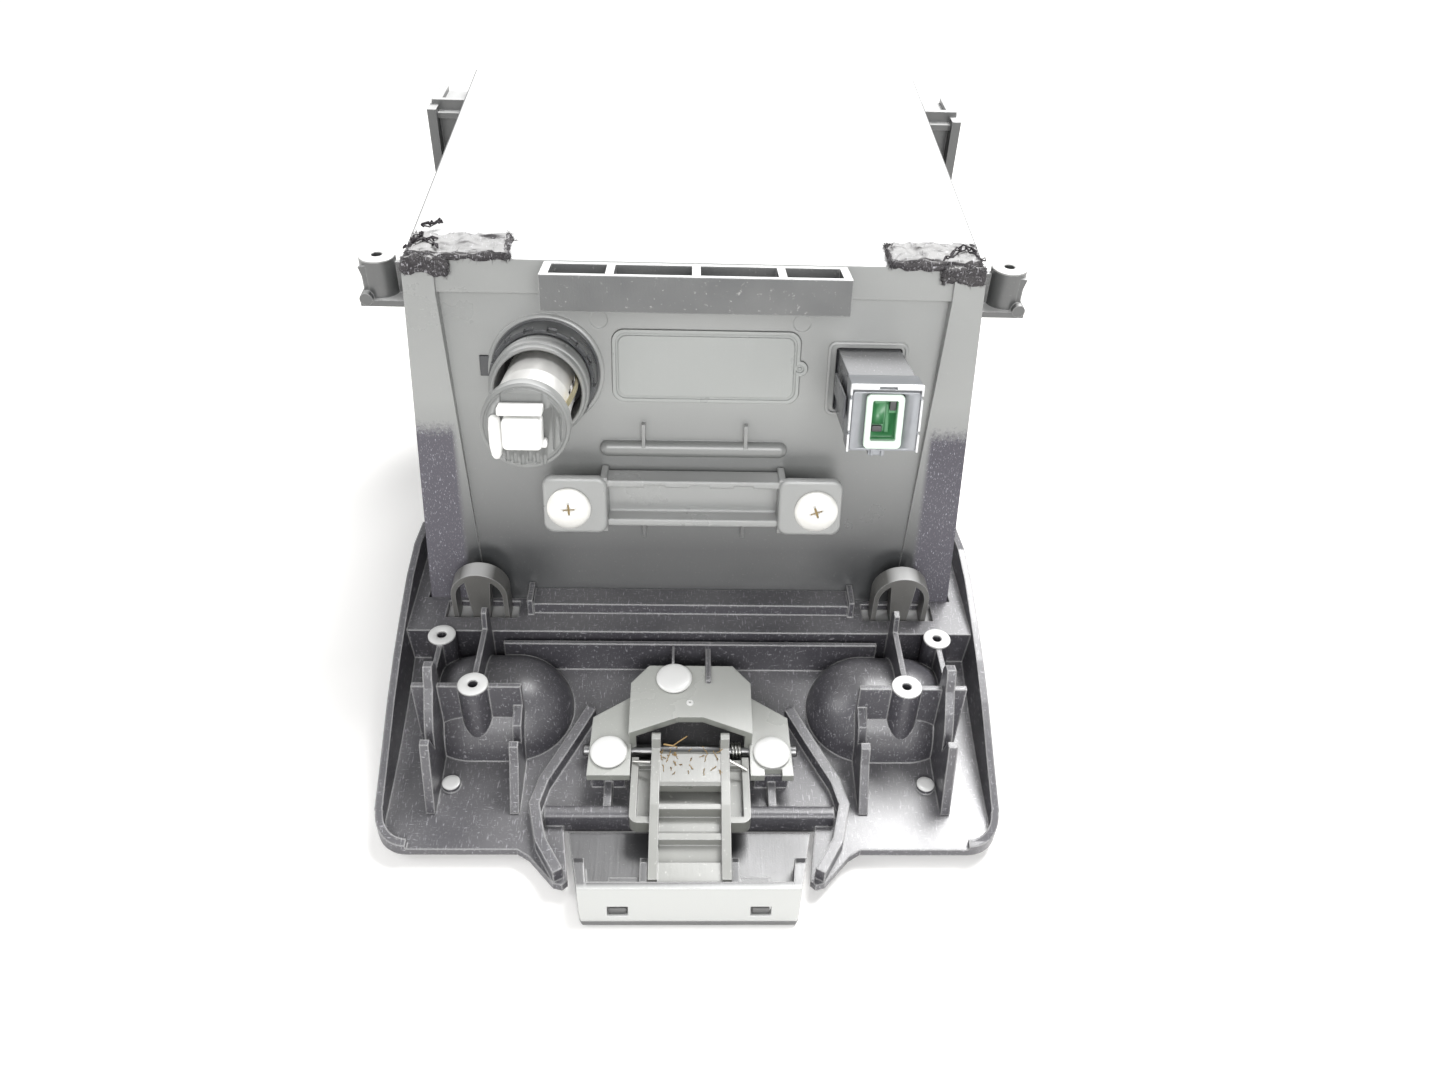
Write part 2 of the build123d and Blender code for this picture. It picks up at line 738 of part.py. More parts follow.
def side_flange():
    """Side wall of the face panel, tall beside the bin and low at the near corner."""
    near = face_near_y + face_corner
    profile = [(near, 4.8), (near, 11.5), (-100, 17.8), (-81, 25.8), (-66, 31.0), (-51, 35.2),
               (-34, 39.4), (-18, flange_top_z), (side_far_y, 39.4), (side_far_y, 6.0), (-60, 6.0)]
    slab = side_extrude(profile, face_half - 4 * side_wall, face_half)
    return slab & (lean_prism(0) - lean_prism(side_wall))


def corner_wall():
    """Low wall round the near corner, as high as the side wall's end."""
    centre = (face_foot - face_corner, face_near_y + face_corner)
    ring = Circle(face_corner) - Circle(face_corner - side_wall)
    quarter = Rectangle(face_corner, face_corner, align=(Align.MIN, Align.MAX))
    arc = Pos(*centre) * (ring & quarter)
    wall = Pos(0, 0, 4.6) * extrude(arc, amount=6.9)
    near = face_near_y
    slope = side_extrude([(near - 1, 0), (near - 1, 7.4), (near + 2, 8.0), (near + face_corner, 11.5),
                          (near + face_corner + 1, 11.5), (near + face_corner + 1, 0)], 0, face_half)
    return wall & slope


def shelf():
    """Raised shelf along the foot of the socket wall, with its lip and rail."""
    inner = face_half - side_wall / 2
    plate = block(-inner, inner, shelf_front_y, -30, shelf_z - shelf_thick, shelf_z)
    front = block(-inner, inner, shelf_front_y, shelf_front_y + 2.4, floor_far_z - 4, shelf_z)
    lip = block(-lip_half, lip_half, lip_y, lip_y + lip_thick, floor_far_z - 4, lip_z)
    web = block(-lip_half, lip_half, lip_y, shelf_front_y + 1, floor_far_z - 2, lip_z - 5)
    rail = block(-rail_half, rail_half, rail_front_y, -30, shelf_z - 0.5, rail_z)
    stop = block(rail_half - 2.0, rail_half, rail_front_y - 1.0, -30, shelf_z - 0.5, rail_z + 2.4)
    strip = block(bin_half_mouth, inner, -40, side_far_y, shelf_z - shelf_thick, shelf_z)
    return (plate + front + lip + web + rail + both_sides(stop) + both_sides(strip)) & lean_prism(0)


def boss(x, y, top, radius):
    column = Pos(x, y, (floor_near_z + top) / 2)
    column *= Cylinder(radius, top - floor_near_z)
    hole = Pos(x, y, top - boss_hole_deep / 2 + 0.5) * Cylinder(boss_hole, boss_hole_deep + 1)
    return column, hole


def fin(x, points, thick):
    """Upright fin in the YZ plane, from points on its front edge."""
    return side_extrude(points, x - thick / 2, x + thick / 2)


def corner_ribs():
    """Fins and ribs that tie the bosses of one corner together."""
    y = front_boss_y
    low = floor_near_z
    outer = fin(fin_outer_x, [(y + 3, low), (y + 3, 46), (y + 1.4, 49), (y - 1.4, 49.4), (y - 3.4, 46),
                              (y - 4.4, 42.4), (y - 9, 36.5), (y - 12.4, 30.5), (y - 14, 24),
                              (y - 17.6, 33.2), (y - 19.6, 32.8), (y - 21, 28), (y - 27, low)], fin_thick)
    inner = fin(fin_inner_x, [(y + 1, low), (y + 1, 31.5), (y - 2, 30.4), (y - 7, 27.6), (y - 9.6, 22),
                              (y - 14, 28.2), (y - 16, 27.6), (y - 18, 22), (y - 27, low)], fin_thick)
    cross = block(fin_inner_x - 1.6, 91.2, y - rib_thick / 2, y + rib_thick / 2, low, front_boss_z - 0.4)
    spine = side_extrude([(y, low), (y, front_boss_z - 0.6), (shelf_front_y - 6.2, front_boss_z - 0.8),
                          (shelf_front_y - 5, 45.4), (shelf_front_y - 2.6, 46), (shelf_front_y, 43),
                          (shelf_front_y, low)], front_boss_x - rib_thick / 2, front_boss_x + rib_thick / 2)
    outer_tie = block(rear_boss_x - rib_thick / 2, rear_boss_x + rib_thick / 2, y, shelf_front_y + 1,
                      low, rear_boss_z - 0.6)
    return outer + inner + cross + spine + outer_tie


def dome(grow):
    """Long dome pushed up into the panel; smaller, it is the hollow below."""
    radius = dome_radius + grow
    near = Pos(dome_x, dome_y, dome_base_z) * Sphere(radius)
    far = Pos(dome_x + dome_stretch, dome_y, dome_base_z) * Sphere(radius)
    middle = cross_rod(radius, dome_x, dome_x + dome_stretch, dome_y, dome_base_z)
    return near + far + middle


def latch_posts():
    """Posts that carry the pivot pin and are staked over the retainer."""
    low = -12.0
    top = -plate_thick
    side = block(stake_x - post_half_wide, stake_x + post_half_wide, -7, pivot_back + pin_radius + 2.2,
                 low, top)
    side -= block(stake_x - 10, stake_x + 10, pivot_back - pin_radius, pivot_back + pin_radius,
                  top - pin_radius, top + 1)
    side -= cross_rod(pin_radius, stake_x - 10, stake_x + 10, pivot_back, top - pin_radius)
    side += block(stake_x - 1.3, stake_x + 1.3, -17, -6, low, -6.6)
    stem = Pos(stake_x, -0.4, top) * extrude(Circle(stem_radius), amount=plate_thick + 0.1)
    head = Pos(stake_x, -0.4, 0) * extrude(Circle(stake_radius), amount=stake_high)
    top_post = Pos(top_stake_x, top_stake_y, low)
    top_post *= extrude(Circle(3.4), amount=block_rise - plate_thick - low)
    top_stem = Pos(top_stake_x, top_stake_y, block_rise - plate_thick)
    top_stem *= extrude(Circle(stem_radius), amount=plate_thick + 0.1)
    top_head = Pos(top_stake_x, top_stake_y, block_rise) * extrude(Circle(stake_radius), amount=stake_high)
    return in_latch(both_sides(side + stem + head) + top_post + top_stem + top_head)


def latch_ridge():
    """Low ridge on each side of the latch, running out into the tongues."""
    path = Polyline((notch_half_near - 4.0, notch_far_y + 42.0), (tongue_half - 6.6, notch_far_y + 14.0),
                    (tongue_half - 4.4, notch_far_y + 5.0), (tongue_half - 7.6, face_near_y + 0.6),
                    (notch_half_near + 2.8, tongue_tip_y + 2.0))
    wall = trace(path, ridge_thick)
    return extrude(wall, amount=40)


def ridge_band():
    """Band between the floor and the top of the ridge."""
    top = floor_arc.moved(Location((0, 0, ridge_high)))
    low = floor_arc.moved(Location((0, 0, -panel_thick / 2)))
    band = make_face(Wire([top, Line(top @ 1, low @ 1), low, Line(low @ 0, top @ 0)]))
    return extrude(band, amount=face_half, dir=(1, 0, 0), both=True)


def face_panel():
    plate = extrude(face_outline(), amount=60)
    plate = both_sides(plate) & floor_band() & lean_prism(0)
    body = plate + both_sides(side_flange()) + both_sides(corner_wall()) + shelf()
    ribs = corner_ribs()
    front, front_hole = boss(front_boss_x, front_boss_y, front_boss_z, boss_radius)
    rear, rear_hole = boss(rear_boss_x, rear_boss_y, rear_boss_z, boss_radius - 0.2)
    pin_mark = (Pos(face_half - pin_mark_in, face_near_y + pin_mark_near, floor_near_z)
                * Cylinder(pin_mark_radius, pin_mark_high))
    upright = both_sides(ribs + front + rear + pin_mark) + latch_posts()
    body += upright & above_floor(clear_height)
    body += both_sides(dome(0)) & above_floor(clear_height)
    ridge = latch_ridge() & ridge_band()
    rim = ridge.faces().sort_by(Axis.Z)[-1]
    body += both_sides(fillet(rim.edges(), radius=ridge_round))
    roll_half = notch_half_far + 6
    roll = block(-roll_half, roll_half, notch_far_y, notch_far_y + roll_thick, floor_near_z - 2, roll_z)
    body += fillet(roll.edges().filter_by(Axis.X).group_by(Axis.Z)[-1], radius=roll_round)
    under = block(-far_out, far_out, -far_out, 0, -far_out, floor_far_z + dome_radius)
    body -= both_sides(dome(-dome_wall)) & under
    body -= both_sides(front_hole) + both_sides(rear_hole)
    hole = block(clip_x - clip_hole_half_x, clip_x + clip_hole_half_x, clip_y - clip_hole_half_y,
                 clip_y + clip_hole_half_y, shelf_z - 6, shelf_z + 1)
    body -= both_sides(hole)
    return body - bin_keepout()


def bin_keepout():
    """The bin's outer form grown by the assembly clearance."""
    low = -30
    points = [(front_y(low) - fit_gap, low), (front_y(keep_top) - fit_gap, keep_top),
              (far_out, keep_top), (far_out, low)]
    slab = side_extrude(points, -bin_half_mouth - fit_gap, bin_half_mouth + fit_gap)
    return slab


def latch_retainer():
    """Plate with a raised arched block, staked to the face panel."""
    wing = Polyline((wing_inner_half, wing_plate_front), (wing_plate_half, wing_plate_front),
                    (wing_plate_half - 0.8, 14.0), (block_half, 22.6), (block_half, block_front),
                    (wing_inner_half, block_front), close=True)
    wing = Pos(0, 0, -plate_thick) * extrude(make_face(wing), amount=plate_thick)
    plan = Polyline((-block_half, block_front), (-arch_half, block_front + arch_deep),
                    (arch_half, block_front + arch_deep),
                    (block_half, block_front), (block_half, 24.0), (14.5, block_back),
                    (-14.5, block_back), (-block_half, 24.0), close=True)
    top = Pos(0, 0, block_rise - plate_thick) * extrude(make_face(plan), amount=plate_thick)
    side = block(block_half - 2.4, block_half, block_front, 24.0, -plate_thick, block_rise)
    side = side & extrude(make_face(plan), amount=20, both=True)
    rear = block(-14.5, 14.5, block_back - 2.4, block_back, -plate_thick - 2, block_rise - 1)
    body = both_sides(wing + side) + top + rear
    post_hole = Pos(stake_x, -0.4, -plate_thick - 1)
    post_hole *= extrude(Circle(stem_radius + 0.05), amount=plate_thick + 2)
    body -= both_sides(post_hole)
    body -= Pos(top_stake_x, top_stake_y, 0) * extrude(Circle(stem_radius + 0.05), amount=block_rise + 1)
    body -= block(stake_x - 2.6, stake_x + 3.2, wing_plate_front - 1, wing_plate_front + 2.6, -5, 1)
    return in_latch(body)


def pivot_pin():
    pin = cross_rod(pin_radius, -pin_half, pin_half, pivot_y, pivot_z)
    return chamfer(pin.edges(), length=0.4)


def lever_side():
    """Outline of one side rail, from its hook over the pivot to the near end."""
    y = pivot_y
    points = [(y - 1.0, pivot_z - 3.2), (y - 1.0, pivot_z + 3.2), (y - 2.6, pivot_z + 4.8),
              (y - 1.6, tip_z - 3), (y - 1.8, tip_z - 0.6),
              (y - 3.0, tip_z), (y - 4.6, tip_z - 0.4), (y - 6.0, 22.4), (y - 19, 22.0), (y - 27, 20.6),
              (y - 37, 18.0), (lever_near_y, 14.6), (lever_near_y, 7.4), (y - 40, 8.6),
              (y - 33, basket_floor_z), (y - 6, basket_floor_z)]
    return points


def latch_lever():
    hub = cross_rod(hub_radius, rail_outer - lever_rail, rail_outer, pivot_y, pivot_z)
    rail = side_extrude(lever_side(), rail_outer - lever_rail, rail_outer) + hub
    half = basket_half
    tray = block(rail_outer - 0.5, half, basket_near_y, basket_back_y, basket_floor_z, basket_floor_z + 1.8)
    wall = block(half - basket_wall, half, basket_near_y, basket_back_y, basket_floor_z, basket_top_z)
    near = block(rail_outer - 0.5, half, basket_near_y, basket_near_y + basket_wall, basket_floor_z,
                 basket_top_z)
    far = block(rail_outer - 0.5, half, basket_back_y - basket_wall, basket_back_y, basket_floor_z,
                pivot_z + spring_radius - wire_radius - 0.05)
    pocket = tray + wall + near + far
    outer_corner = pocket.edges().filter_by(Axis.Z).group_by(Axis.Y)[0].sort_by(Axis.X)[-1]
    pocket = fillet(outer_corner, radius=3.0)
    inner = rail_outer - lever_rail + 0.4
    y = pivot_y
    top_block = side_extrude([(y - 6.4, 14.5), (y - 6.4, 21.4), (y - 8.0, 22.2), (y - 18.6, 21.4),
                              (y - 19.6, 20.6), (y - 19.6, 17.4), (y - 12, 16.0)], -inner, inner)
    bar_one = side_extrude([(y - 26.0, 14.5), (y - 26.0, 19.8), (y - 27.8, 19.6), (y - 27.8, 14.5)],
                           -inner, inner)
    bar_two = side_extrude([(y - 35.4, 12.2), (y - 35.4, 17.4), (y - 37.4, 17.0), (y - 37.4, 12.2)],
                           -inner, inner)
    end_plate = side_extrude([(y - 43.6, 12.0), (y - 43.6, 13.9), (lever_near_y, 13.1),
                              (lever_near_y, 11.0)], -inner, inner)
    web = side_extrude([(y - 7, basket_floor_z), (y - 7, 15.2), (y - 20, 15.2), (y - 33, 15.2),
                        (y - 43, 12.6), (y - 50.2, 10.9), (y - 50.2, 8.6), (y - 41, 9.2),
                        (y - 33.6, basket_floor_z)], -inner, inner)
    body = both_sides(rail + pocket) + top_block + bar_one + bar_two + end_plate + web
    body -= cross_rod(pin_radius + pin_gap, -40, 40, pivot_y, pivot_z)
    body -= cross_rod(peg_radius + 0.05, -40, 40, peg_y, peg_z)
    return body


def handle_plan(inset, far_extra=0.0):
    far = handle_half_far - inset
    near = handle_half_near - inset
    plan = make_face(Polyline((-far, handle_far_y + far_extra), (far, handle_far_y + far_extra),
                              (near, handle_low_y - 1), (-near, handle_low_y - 1), close=True))
    plan = fillet(plan.vertices().group_by(Axis.Y)[0], radius=handle_corner - inset)
    return extrude(plan, amount=60)


def handle_front_y(z):
    """Outer face of the handle's front plate at a height."""
    lean = (handle_top_y - handle_low_y) / (handle_top_z - handle_low_z)
    return handle_low_y + lean * (z - handle_low_z)


handle_floor_z = handle_low_z + trim_thick
handle_floor_rise = 1.9


def handle_slots(grow):
    """Space of the trim's two snap tabs inside the front plate."""
    half = slot_wide / 2 - 0.6 + grow
    y = handle_front_y(slot_low_z)
    low = handle_low_z + (0.0 if grow > 0 else trim_thick - 0.4)
    high = slot_high_z - 0.8 + 2 * grow
    return block(slot_mid_x - half, slot_mid_x + half, y + 0.9 - grow, y + 1.9 + grow, low, high)


def release_handle():
    """Trough that closes the near end of the lever."""
    low = handle_floor_z
    low_y = handle_front_y(low)
    front_rise = handle_floor_rise * handle_wall / (handle_far_y - low_y)
    front = [(low_y, low), (handle_top_y, handle_top_z), (handle_top_y + handle_wall, handle_top_z),
             (low_y + handle_wall, low + front_rise)]
    floor = side_extrude([(low_y, low), (low_y + 0.9, low + 1.9),
                          (handle_far_y, low + handle_floor_rise + 1.8),
                          (handle_far_y, low + handle_floor_rise)], -handle_reach, handle_reach)
    shell = (side_extrude(front, -handle_reach, handle_reach) + floor) & handle_plan(0)
    side = side_extrude([(low_y, low), (handle_top_y, handle_top_z),
                         (handle_side_far_y - 4.0, handle_top_z + 0.4),
                         (handle_side_far_y - 1.6, handle_top_z - 0.6),
                         (handle_side_far_y, handle_top_z - 3.4), (handle_side_far_y, low + 1)],
                        -handle_reach, handle_reach)
    walls = side & (handle_plan(0) - handle_plan(handle_wall, 20))
    near_x = rail_outer + running_gap / 2
    ear_plate_x = near_x + 2.4
    lug = side_extrude([(handle_top_y + 1.6, low + 1), (handle_top_y + 1.6, 13.4), (-137, 14.6),
                        (-134.6, 13.4), (-134.6, low + 1)], near_x, ear_plate_x)
    peg = cross_rod(peg_radius, near_x - lever_rail * 0.8, near_x + 1, peg_y, peg_z)
    ledge_block = block(ear_plate_x - 0.5, ear_plate_x + 9.5, handle_top_y + 1.2, handle_top_y + 5.4,
                        low + 1, 11.6)
    body = shell + walls + both_sides(lug + peg + ledge_block)
    slot = block(slot_mid_x - slot_wide / 2, slot_mid_x + slot_wide / 2, handle_low_y - 2,
                 handle_front_y(slot_high_z) + handle_wall + 0.2, slot_low_z, slot_high_z)
    return body - both_sides(slot + handle_slots(0.1))


def handle_trim():
    """Cover plate under the trough, with two tabs that catch in its slots."""
    low_y = handle_front_y(handle_floor_z)
    plate = side_extrude([(handle_low_y, handle_low_z), (low_y, handle_floor_z),
                          (handle_far_y, handle_floor_z + handle_floor_rise),
                          (handle_far_y, handle_floor_z + handle_floor_rise - trim_thick)],
                         -handle_reach, handle_reach)
    return (plate & handle_plan(0)) + both_sides(handle_slots(0))


spring_radius = pin_radius + wire_radius + 0.03


def torsion_spring():
    """Coil on the pivot pin, between the lever's hub and its outer wall."""
    long = spring_turns * spring_pitch
    coil_path = Helix(pitch=spring_pitch, height=long, radius=spring_radius)
    start = coil_path @ 0
    section = Plane(origin=start, z_dir=coil_path % 0) * Circle(wire_radius)
    coil = sweep(section, path=coil_path)
    coil = Rot(0, 90, 0) * coil
    return Pos(spring_x, pivot_y, pivot_z) * coil


def trim_clip(side):
    """Plastic clip with an arched head and a tapered middle tongue."""
    half = clip_wide / 2
    inner = half - clip_strap
    rise = clip_top_z - half
    seat = shelf_z - shelf_thick
    leg = Rectangle(clip_wide, rise - seat + clip_foot_thick, align=(Align.CENTER, Align.MIN))
    gap = Rectangle(2 * inner, rise - seat + clip_foot_thick, align=(Align.CENTER, Align.MIN))
    low = seat - clip_foot_thick
    outline = Pos(0, rise) * Circle(half) + Pos(0, low) * leg
    outline -= Pos(0, rise - 0.6) * Circle(inner) + Pos(0, low - 0.6) * gap
    top = clip_top_z - clip_strap
    wide = clip_tongue_half
    outline += make_face(Polyline((-wide, top), (wide, top), (2.6, low), (-2.6, low), close=True))
    body = extrude(Plane.XZ * outline, amount=clip_depth / 2, both=True)
    foot_x = clip_hole_half_x + 1.2
    foot_y = clip_hole_half_y + 1.0
    body += block(-foot_x, foot_x, -foot_y, foot_y, low, seat)
    return Pos(side * clip_x, clip_y, 0) * body


def felt_strip(side):
    """Felt on the base, along the front corner."""
    x0 = bin_half_top - base_fillet - felt_long
    strip = Pos(side * (x0 + felt_long / 2), 0, 0) * Box(felt_long, felt_wide, felt_thick)
    tilt = Pos(0, wall_top_y + base_fillet + felt_wide / 2 + 0.5, 0) * Rot(base_rise, 0, 0)
    lift = base_z(wall_top_y + base_fillet + felt_wide / 2 + 0.5)
    rise = felt_thick / 2 / math.cos(math.radians(base_rise))
    return Pos(0, 0, lift + rise) * tilt * strip


def all_parts():
    parts = {
        "storage_bin": storage_bin(),
        "locating_ledge": locating_ledge(),
        "ear_left": mirrored(ear()),
        "ear_right": ear(),
        "guide_wing_left": mirrored(guide_wing()),
        "guide_wing_right": guide_wing(),
        "face_panel": face_panel(),
        "latch_retainer": latch_retainer(),
        "pivot_pin": pivot_pin(),
        "latch_lever": latch_lever(),
        "release_handle": release_handle(),
        "handle_trim": handle_trim(),
        "torsion_spring": torsion_spring(),
        "socket_retaining_ring": socket_retaining_ring(),
        "socket_bezel": socket_bezel(),
        "socket_barrel": socket_barrel(),
        "socket_contact": socket_contact(),
        "socket_end_cap": socket_end_cap(),
        "socket_connector": socket_connector(),
        "blanking_plate": blanking_plate(),
        "usb_housing": usb_housing(),
        "usb_clip_shell": usb_clip_shell(),
        "usb_connector": usb_connector(),
        "usb_pins": usb_pins(),
        "cross_bracket": cross_bracket(),
        "bracket_screw_left": bracket_screw(-1),
        "bracket_screw_right": bracket_screw(1),
        "trim_clip_left": trim_clip(-1),
        "trim_clip_right": trim_clip(1),
        "felt_strip_left": felt_strip(-1),
        "felt_strip_right": felt_strip(1),
    }
    return parts


def export_all(parts):
    """Move the part so that its origin is the middle of its bottom, and write it."""
    boxes = [shape.bounding_box() for shape in parts.values()]
    mid_x = (min(box.min.X for box in boxes) + max(box.max.X for box in boxes)) / 2
    mid_y = (min(box.min.Y for box in boxes) + max(box.max.Y for box in boxes)) / 2
    low_z = min(box.min.Z for box in boxes)
    os.makedirs("parts", exist_ok=True)
    for name, shape in parts.items():
        solids = [solid.moved(Location((-mid_x, -mid_y, -low_z))) for solid in shape.solids()]
        piece = solids[0] if len(solids) == 1 else Compound(solids)
        export_step(piece, f"parts/{name}.step")
        box = piece.bounding_box()
        print(name, len(solids), round(piece.volume), [round(v, 1) for v in (*box.min, *box.max)])
    print("moved by", round(-mid_x, 3), round(-mid_y, 3), round(-low_z, 3))
    print("pivot", round(pivot_y - mid_y, 3), round(pivot_z - low_z, 3))


export_all(all_parts())
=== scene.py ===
import bpy
import math
import random
from mathutils import Matrix, Vector, noise


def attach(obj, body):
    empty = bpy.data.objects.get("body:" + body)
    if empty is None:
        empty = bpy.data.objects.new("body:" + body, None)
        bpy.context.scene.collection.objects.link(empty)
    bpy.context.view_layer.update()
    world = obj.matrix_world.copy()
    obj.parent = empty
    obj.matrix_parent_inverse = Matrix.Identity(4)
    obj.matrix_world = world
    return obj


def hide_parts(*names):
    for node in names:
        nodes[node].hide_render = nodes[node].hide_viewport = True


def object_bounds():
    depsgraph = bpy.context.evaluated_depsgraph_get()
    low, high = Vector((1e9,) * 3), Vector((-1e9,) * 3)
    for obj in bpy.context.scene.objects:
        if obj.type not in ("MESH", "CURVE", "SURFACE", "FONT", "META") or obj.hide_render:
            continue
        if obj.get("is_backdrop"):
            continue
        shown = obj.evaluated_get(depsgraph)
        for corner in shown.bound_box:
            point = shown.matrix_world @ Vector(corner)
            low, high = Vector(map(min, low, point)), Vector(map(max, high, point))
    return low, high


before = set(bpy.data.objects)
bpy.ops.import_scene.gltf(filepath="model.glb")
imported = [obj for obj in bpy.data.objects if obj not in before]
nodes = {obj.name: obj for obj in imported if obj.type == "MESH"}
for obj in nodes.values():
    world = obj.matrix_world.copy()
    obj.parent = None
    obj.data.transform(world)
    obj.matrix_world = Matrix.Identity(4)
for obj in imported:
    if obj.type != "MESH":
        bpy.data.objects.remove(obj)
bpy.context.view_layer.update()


# Floor: a wide white seat cover of smooth cloth that the whole part stands on. It
# glows a little for the camera and in shining metal, so that it stays white there.
floor_wide = 8
floor_drop = 0.0006
floor_glow = 0.22


def add_node(tree, kind, **values):
    node = tree.nodes.new(kind)
    for key, value in values.items():
        if key in ("operation", "data_type", "samples"):
            setattr(node, key, value)
        else:
            node.inputs[key.replace("_", " ")].default_value = value
    return node


bpy.ops.object.select_all(action="DESELECT")
bpy.ops.mesh.primitive_plane_add(size=floor_wide, location=(0, 0, -floor_drop))
floor = bpy.context.object
floor.name = "seat_floor"
cover = bpy.data.materials.new("white_cover")
cover.use_nodes = True
tree = cover.node_tree
cloth = tree.nodes["Principled BSDF"]
cloth.inputs["Base Color"].default_value = (0.88, 0.87, 0.85, 1)
cloth.inputs["Roughness"].default_value = 0.8
glow = add_node(tree, "ShaderNodeEmission", Color=(1, 1, 1, 1), Strength=floor_glow)
both = add_node(tree, "ShaderNodeAddShader")
pick = add_node(tree, "ShaderNodeMixShader")
seen = add_node(tree, "ShaderNodeLightPath")
either = add_node(tree, "ShaderNodeMath", operation="MAXIMUM")
tree.links.new(seen.outputs["Is Camera Ray"], either.inputs[0])
tree.links.new(seen.outputs["Is Glossy Ray"], either.inputs[1])
tree.links.new(cloth.outputs[0], both.inputs[0])
tree.links.new(glow.outputs[0], both.inputs[1])
tree.links.new(either.outputs[0], pick.inputs[0])
tree.links.new(cloth.outputs[0], pick.inputs[1])
tree.links.new(both.outputs[0], pick.inputs[2])
tree.links.new(pick.outputs[0], tree.nodes["Material Output"].inputs["Surface"])
floor.data.materials.append(cover)
floor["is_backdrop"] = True

# Daylight: a window behind the bin, a little to its right, makes its upper faces shine
# pale. A weaker window on the left and the pale room in front light the dark sides.
air_level = 0.30
mirrored_level = 0.45
world = bpy.data.worlds.new("daylight")
world.use_nodes = True
bpy.context.scene.world = world
air = world.node_tree
sky = air.nodes["Background"]
sky.inputs["Color"].default_value = (0.97, 0.98, 1.0, 1)
ray = add_node(air, "ShaderNodeLightPath")
mirrored_sky = add_node(air, "ShaderNodeMath", operation="MULTIPLY")
mirrored_sky.inputs[1].default_value = mirrored_level
shown = add_node(air, "ShaderNodeMath", operation="MAXIMUM")
level = add_node(air, "ShaderNodeMapRange", To_Min=air_level, To_Max=1.0)
air.links.new(ray.outputs["Is Glossy Ray"], mirrored_sky.inputs[0])
air.links.new(ray.outputs["Is Camera Ray"], shown.inputs[0])
air.links.new(mirrored_sky.outputs[0], shown.inputs[1])
air.links.new(shown.outputs[0], level.inputs["Value"])
air.links.new(level.outputs[0], sky.inputs["Strength"])
for name, place, aim, size, power in (
        ("window_behind", (0.42, 0.50, 1.16), (0, 0.0, 0.08), 0.6, 27),
        ("window_left", (-1.0, -0.2, 0.9), (0, -0.03, 0.06), 0.6, 4),
        ("room_front", (0.10, -1.30, 0.72), (0, -0.03, 0.10), 0.8, 14)):
    lamp = bpy.data.lights.new(name, "AREA")
    lamp.size = size
    lamp.energy = power
    holder = bpy.data.objects.new(name, lamp)
    bpy.context.scene.collection.objects.link(holder)
    holder.location = place
    holder.rotation_euler = (Vector(aim) - Vector(place)).to_track_quat("-Z", "Y").to_euler()

# Camera: a phone held over the near edge, looking 40 degrees down on the socket
# wall, with the bin a little left of the middle of the picture.
phone_place = (-0.00255, -0.33058, 0.30531)
phone_turns = (("X", 49.919), ("Y", -1.973), ("Z", 0.641))
phone = bpy.data.cameras.new("phone")
phone.sensor_width = 36
phone.lens = 27.03
phone.clip_start = 0.01
viewer = bpy.data.objects.new("phone", phone)
bpy.context.scene.collection.objects.link(viewer)
viewer_turn = Matrix.Identity(4)
for axis, degrees in phone_turns:
    viewer_turn = viewer_turn @ Matrix.Rotation(math.radians(degrees), 4, axis)
viewer.matrix_world = Matrix.Translation(phone_place) @ viewer_turn
bpy.context.scene.camera = viewer
bpy.context.scene.view_settings.view_transform = "Standard"


# Storage bin, ledge, ears and guide wings: one black moulding, satin and finely
# grained. Dust has settled on its upper faces, and the lower half of the two
# cheeks beside the socket wall is covered with short flock. Painted light: the flat
# upward faces are painted near white as a painted highlight, the edges carry a
# painted highlight, and the socket wall is painted paler towards its top as a
# painted sheen.
dust_colour = (0.62, 0.61, 0.58)
# Painted light colours: the painted sheen, and the painted highlight on upward faces and edges.
painted_sheen_colour = (0.62, 0.63, 0.61)
painted_highlight_colour = (0.80, 0.80, 0.79)
lint_colour = (0.58, 0.57, 0.60)
flock_colour = (0.085, 0.080, 0.098)
flock_tips = (0.50, 0.49, 0.55)
front_begins, front_full = -0.006, -0.013
cloud_scale, grain_scale, scratch_scale = 38, 1900, 60
# Painted sheen on the socket wall: paler with height, up to the given share.
bin_painted_sheen = ("Z", 0.052, 0.108, 0.46)
bin_flock = (0.0795, 0.097, -0.012)
# Height above which the bin's upward faces get the painted highlight.
bin_top_highlight_above = 0.12


def multiply(tree, first, second):
    node = add_node(tree, "ShaderNodeMath", operation="MULTIPLY")
    tree.links.new(first, node.inputs[0])
    if isinstance(second, (int, float)):
        node.inputs[1].default_value = second
    else:
        tree.links.new(second, node.inputs[1])
    return node.outputs[0]


def add_share(tree, value, share, base):
    node = add_node(tree, "ShaderNodeMath", operation="MULTIPLY_ADD")
    node.inputs[1].default_value = share
    node.use_clamp = True
    tree.links.new(value, node.inputs[0])
    tree.links.new(base, node.inputs[2])
    return node.outputs[0]


def ramp(tree, value, low, high, to_low=0.0, to_high=1.0):
    node = add_node(tree, "ShaderNodeMapRange", From_Min=low, From_Max=high, To_Min=to_low, To_Max=to_high)
    tree.links.new(value, node.inputs["Value"])
    return node.outputs[0]


def blend(tree, share, under, over):
    node = add_node(tree, "ShaderNodeMix", data_type="RGBA")
    tree.links.new(share, node.inputs["Factor"])
    for colour, socket in ((under, node.inputs["A"]), (over, node.inputs["B"])):
        if isinstance(colour, tuple):
            socket.default_value = (*colour, 1)
        else:
            tree.links.new(colour, socket)
    return node.outputs["Result"]


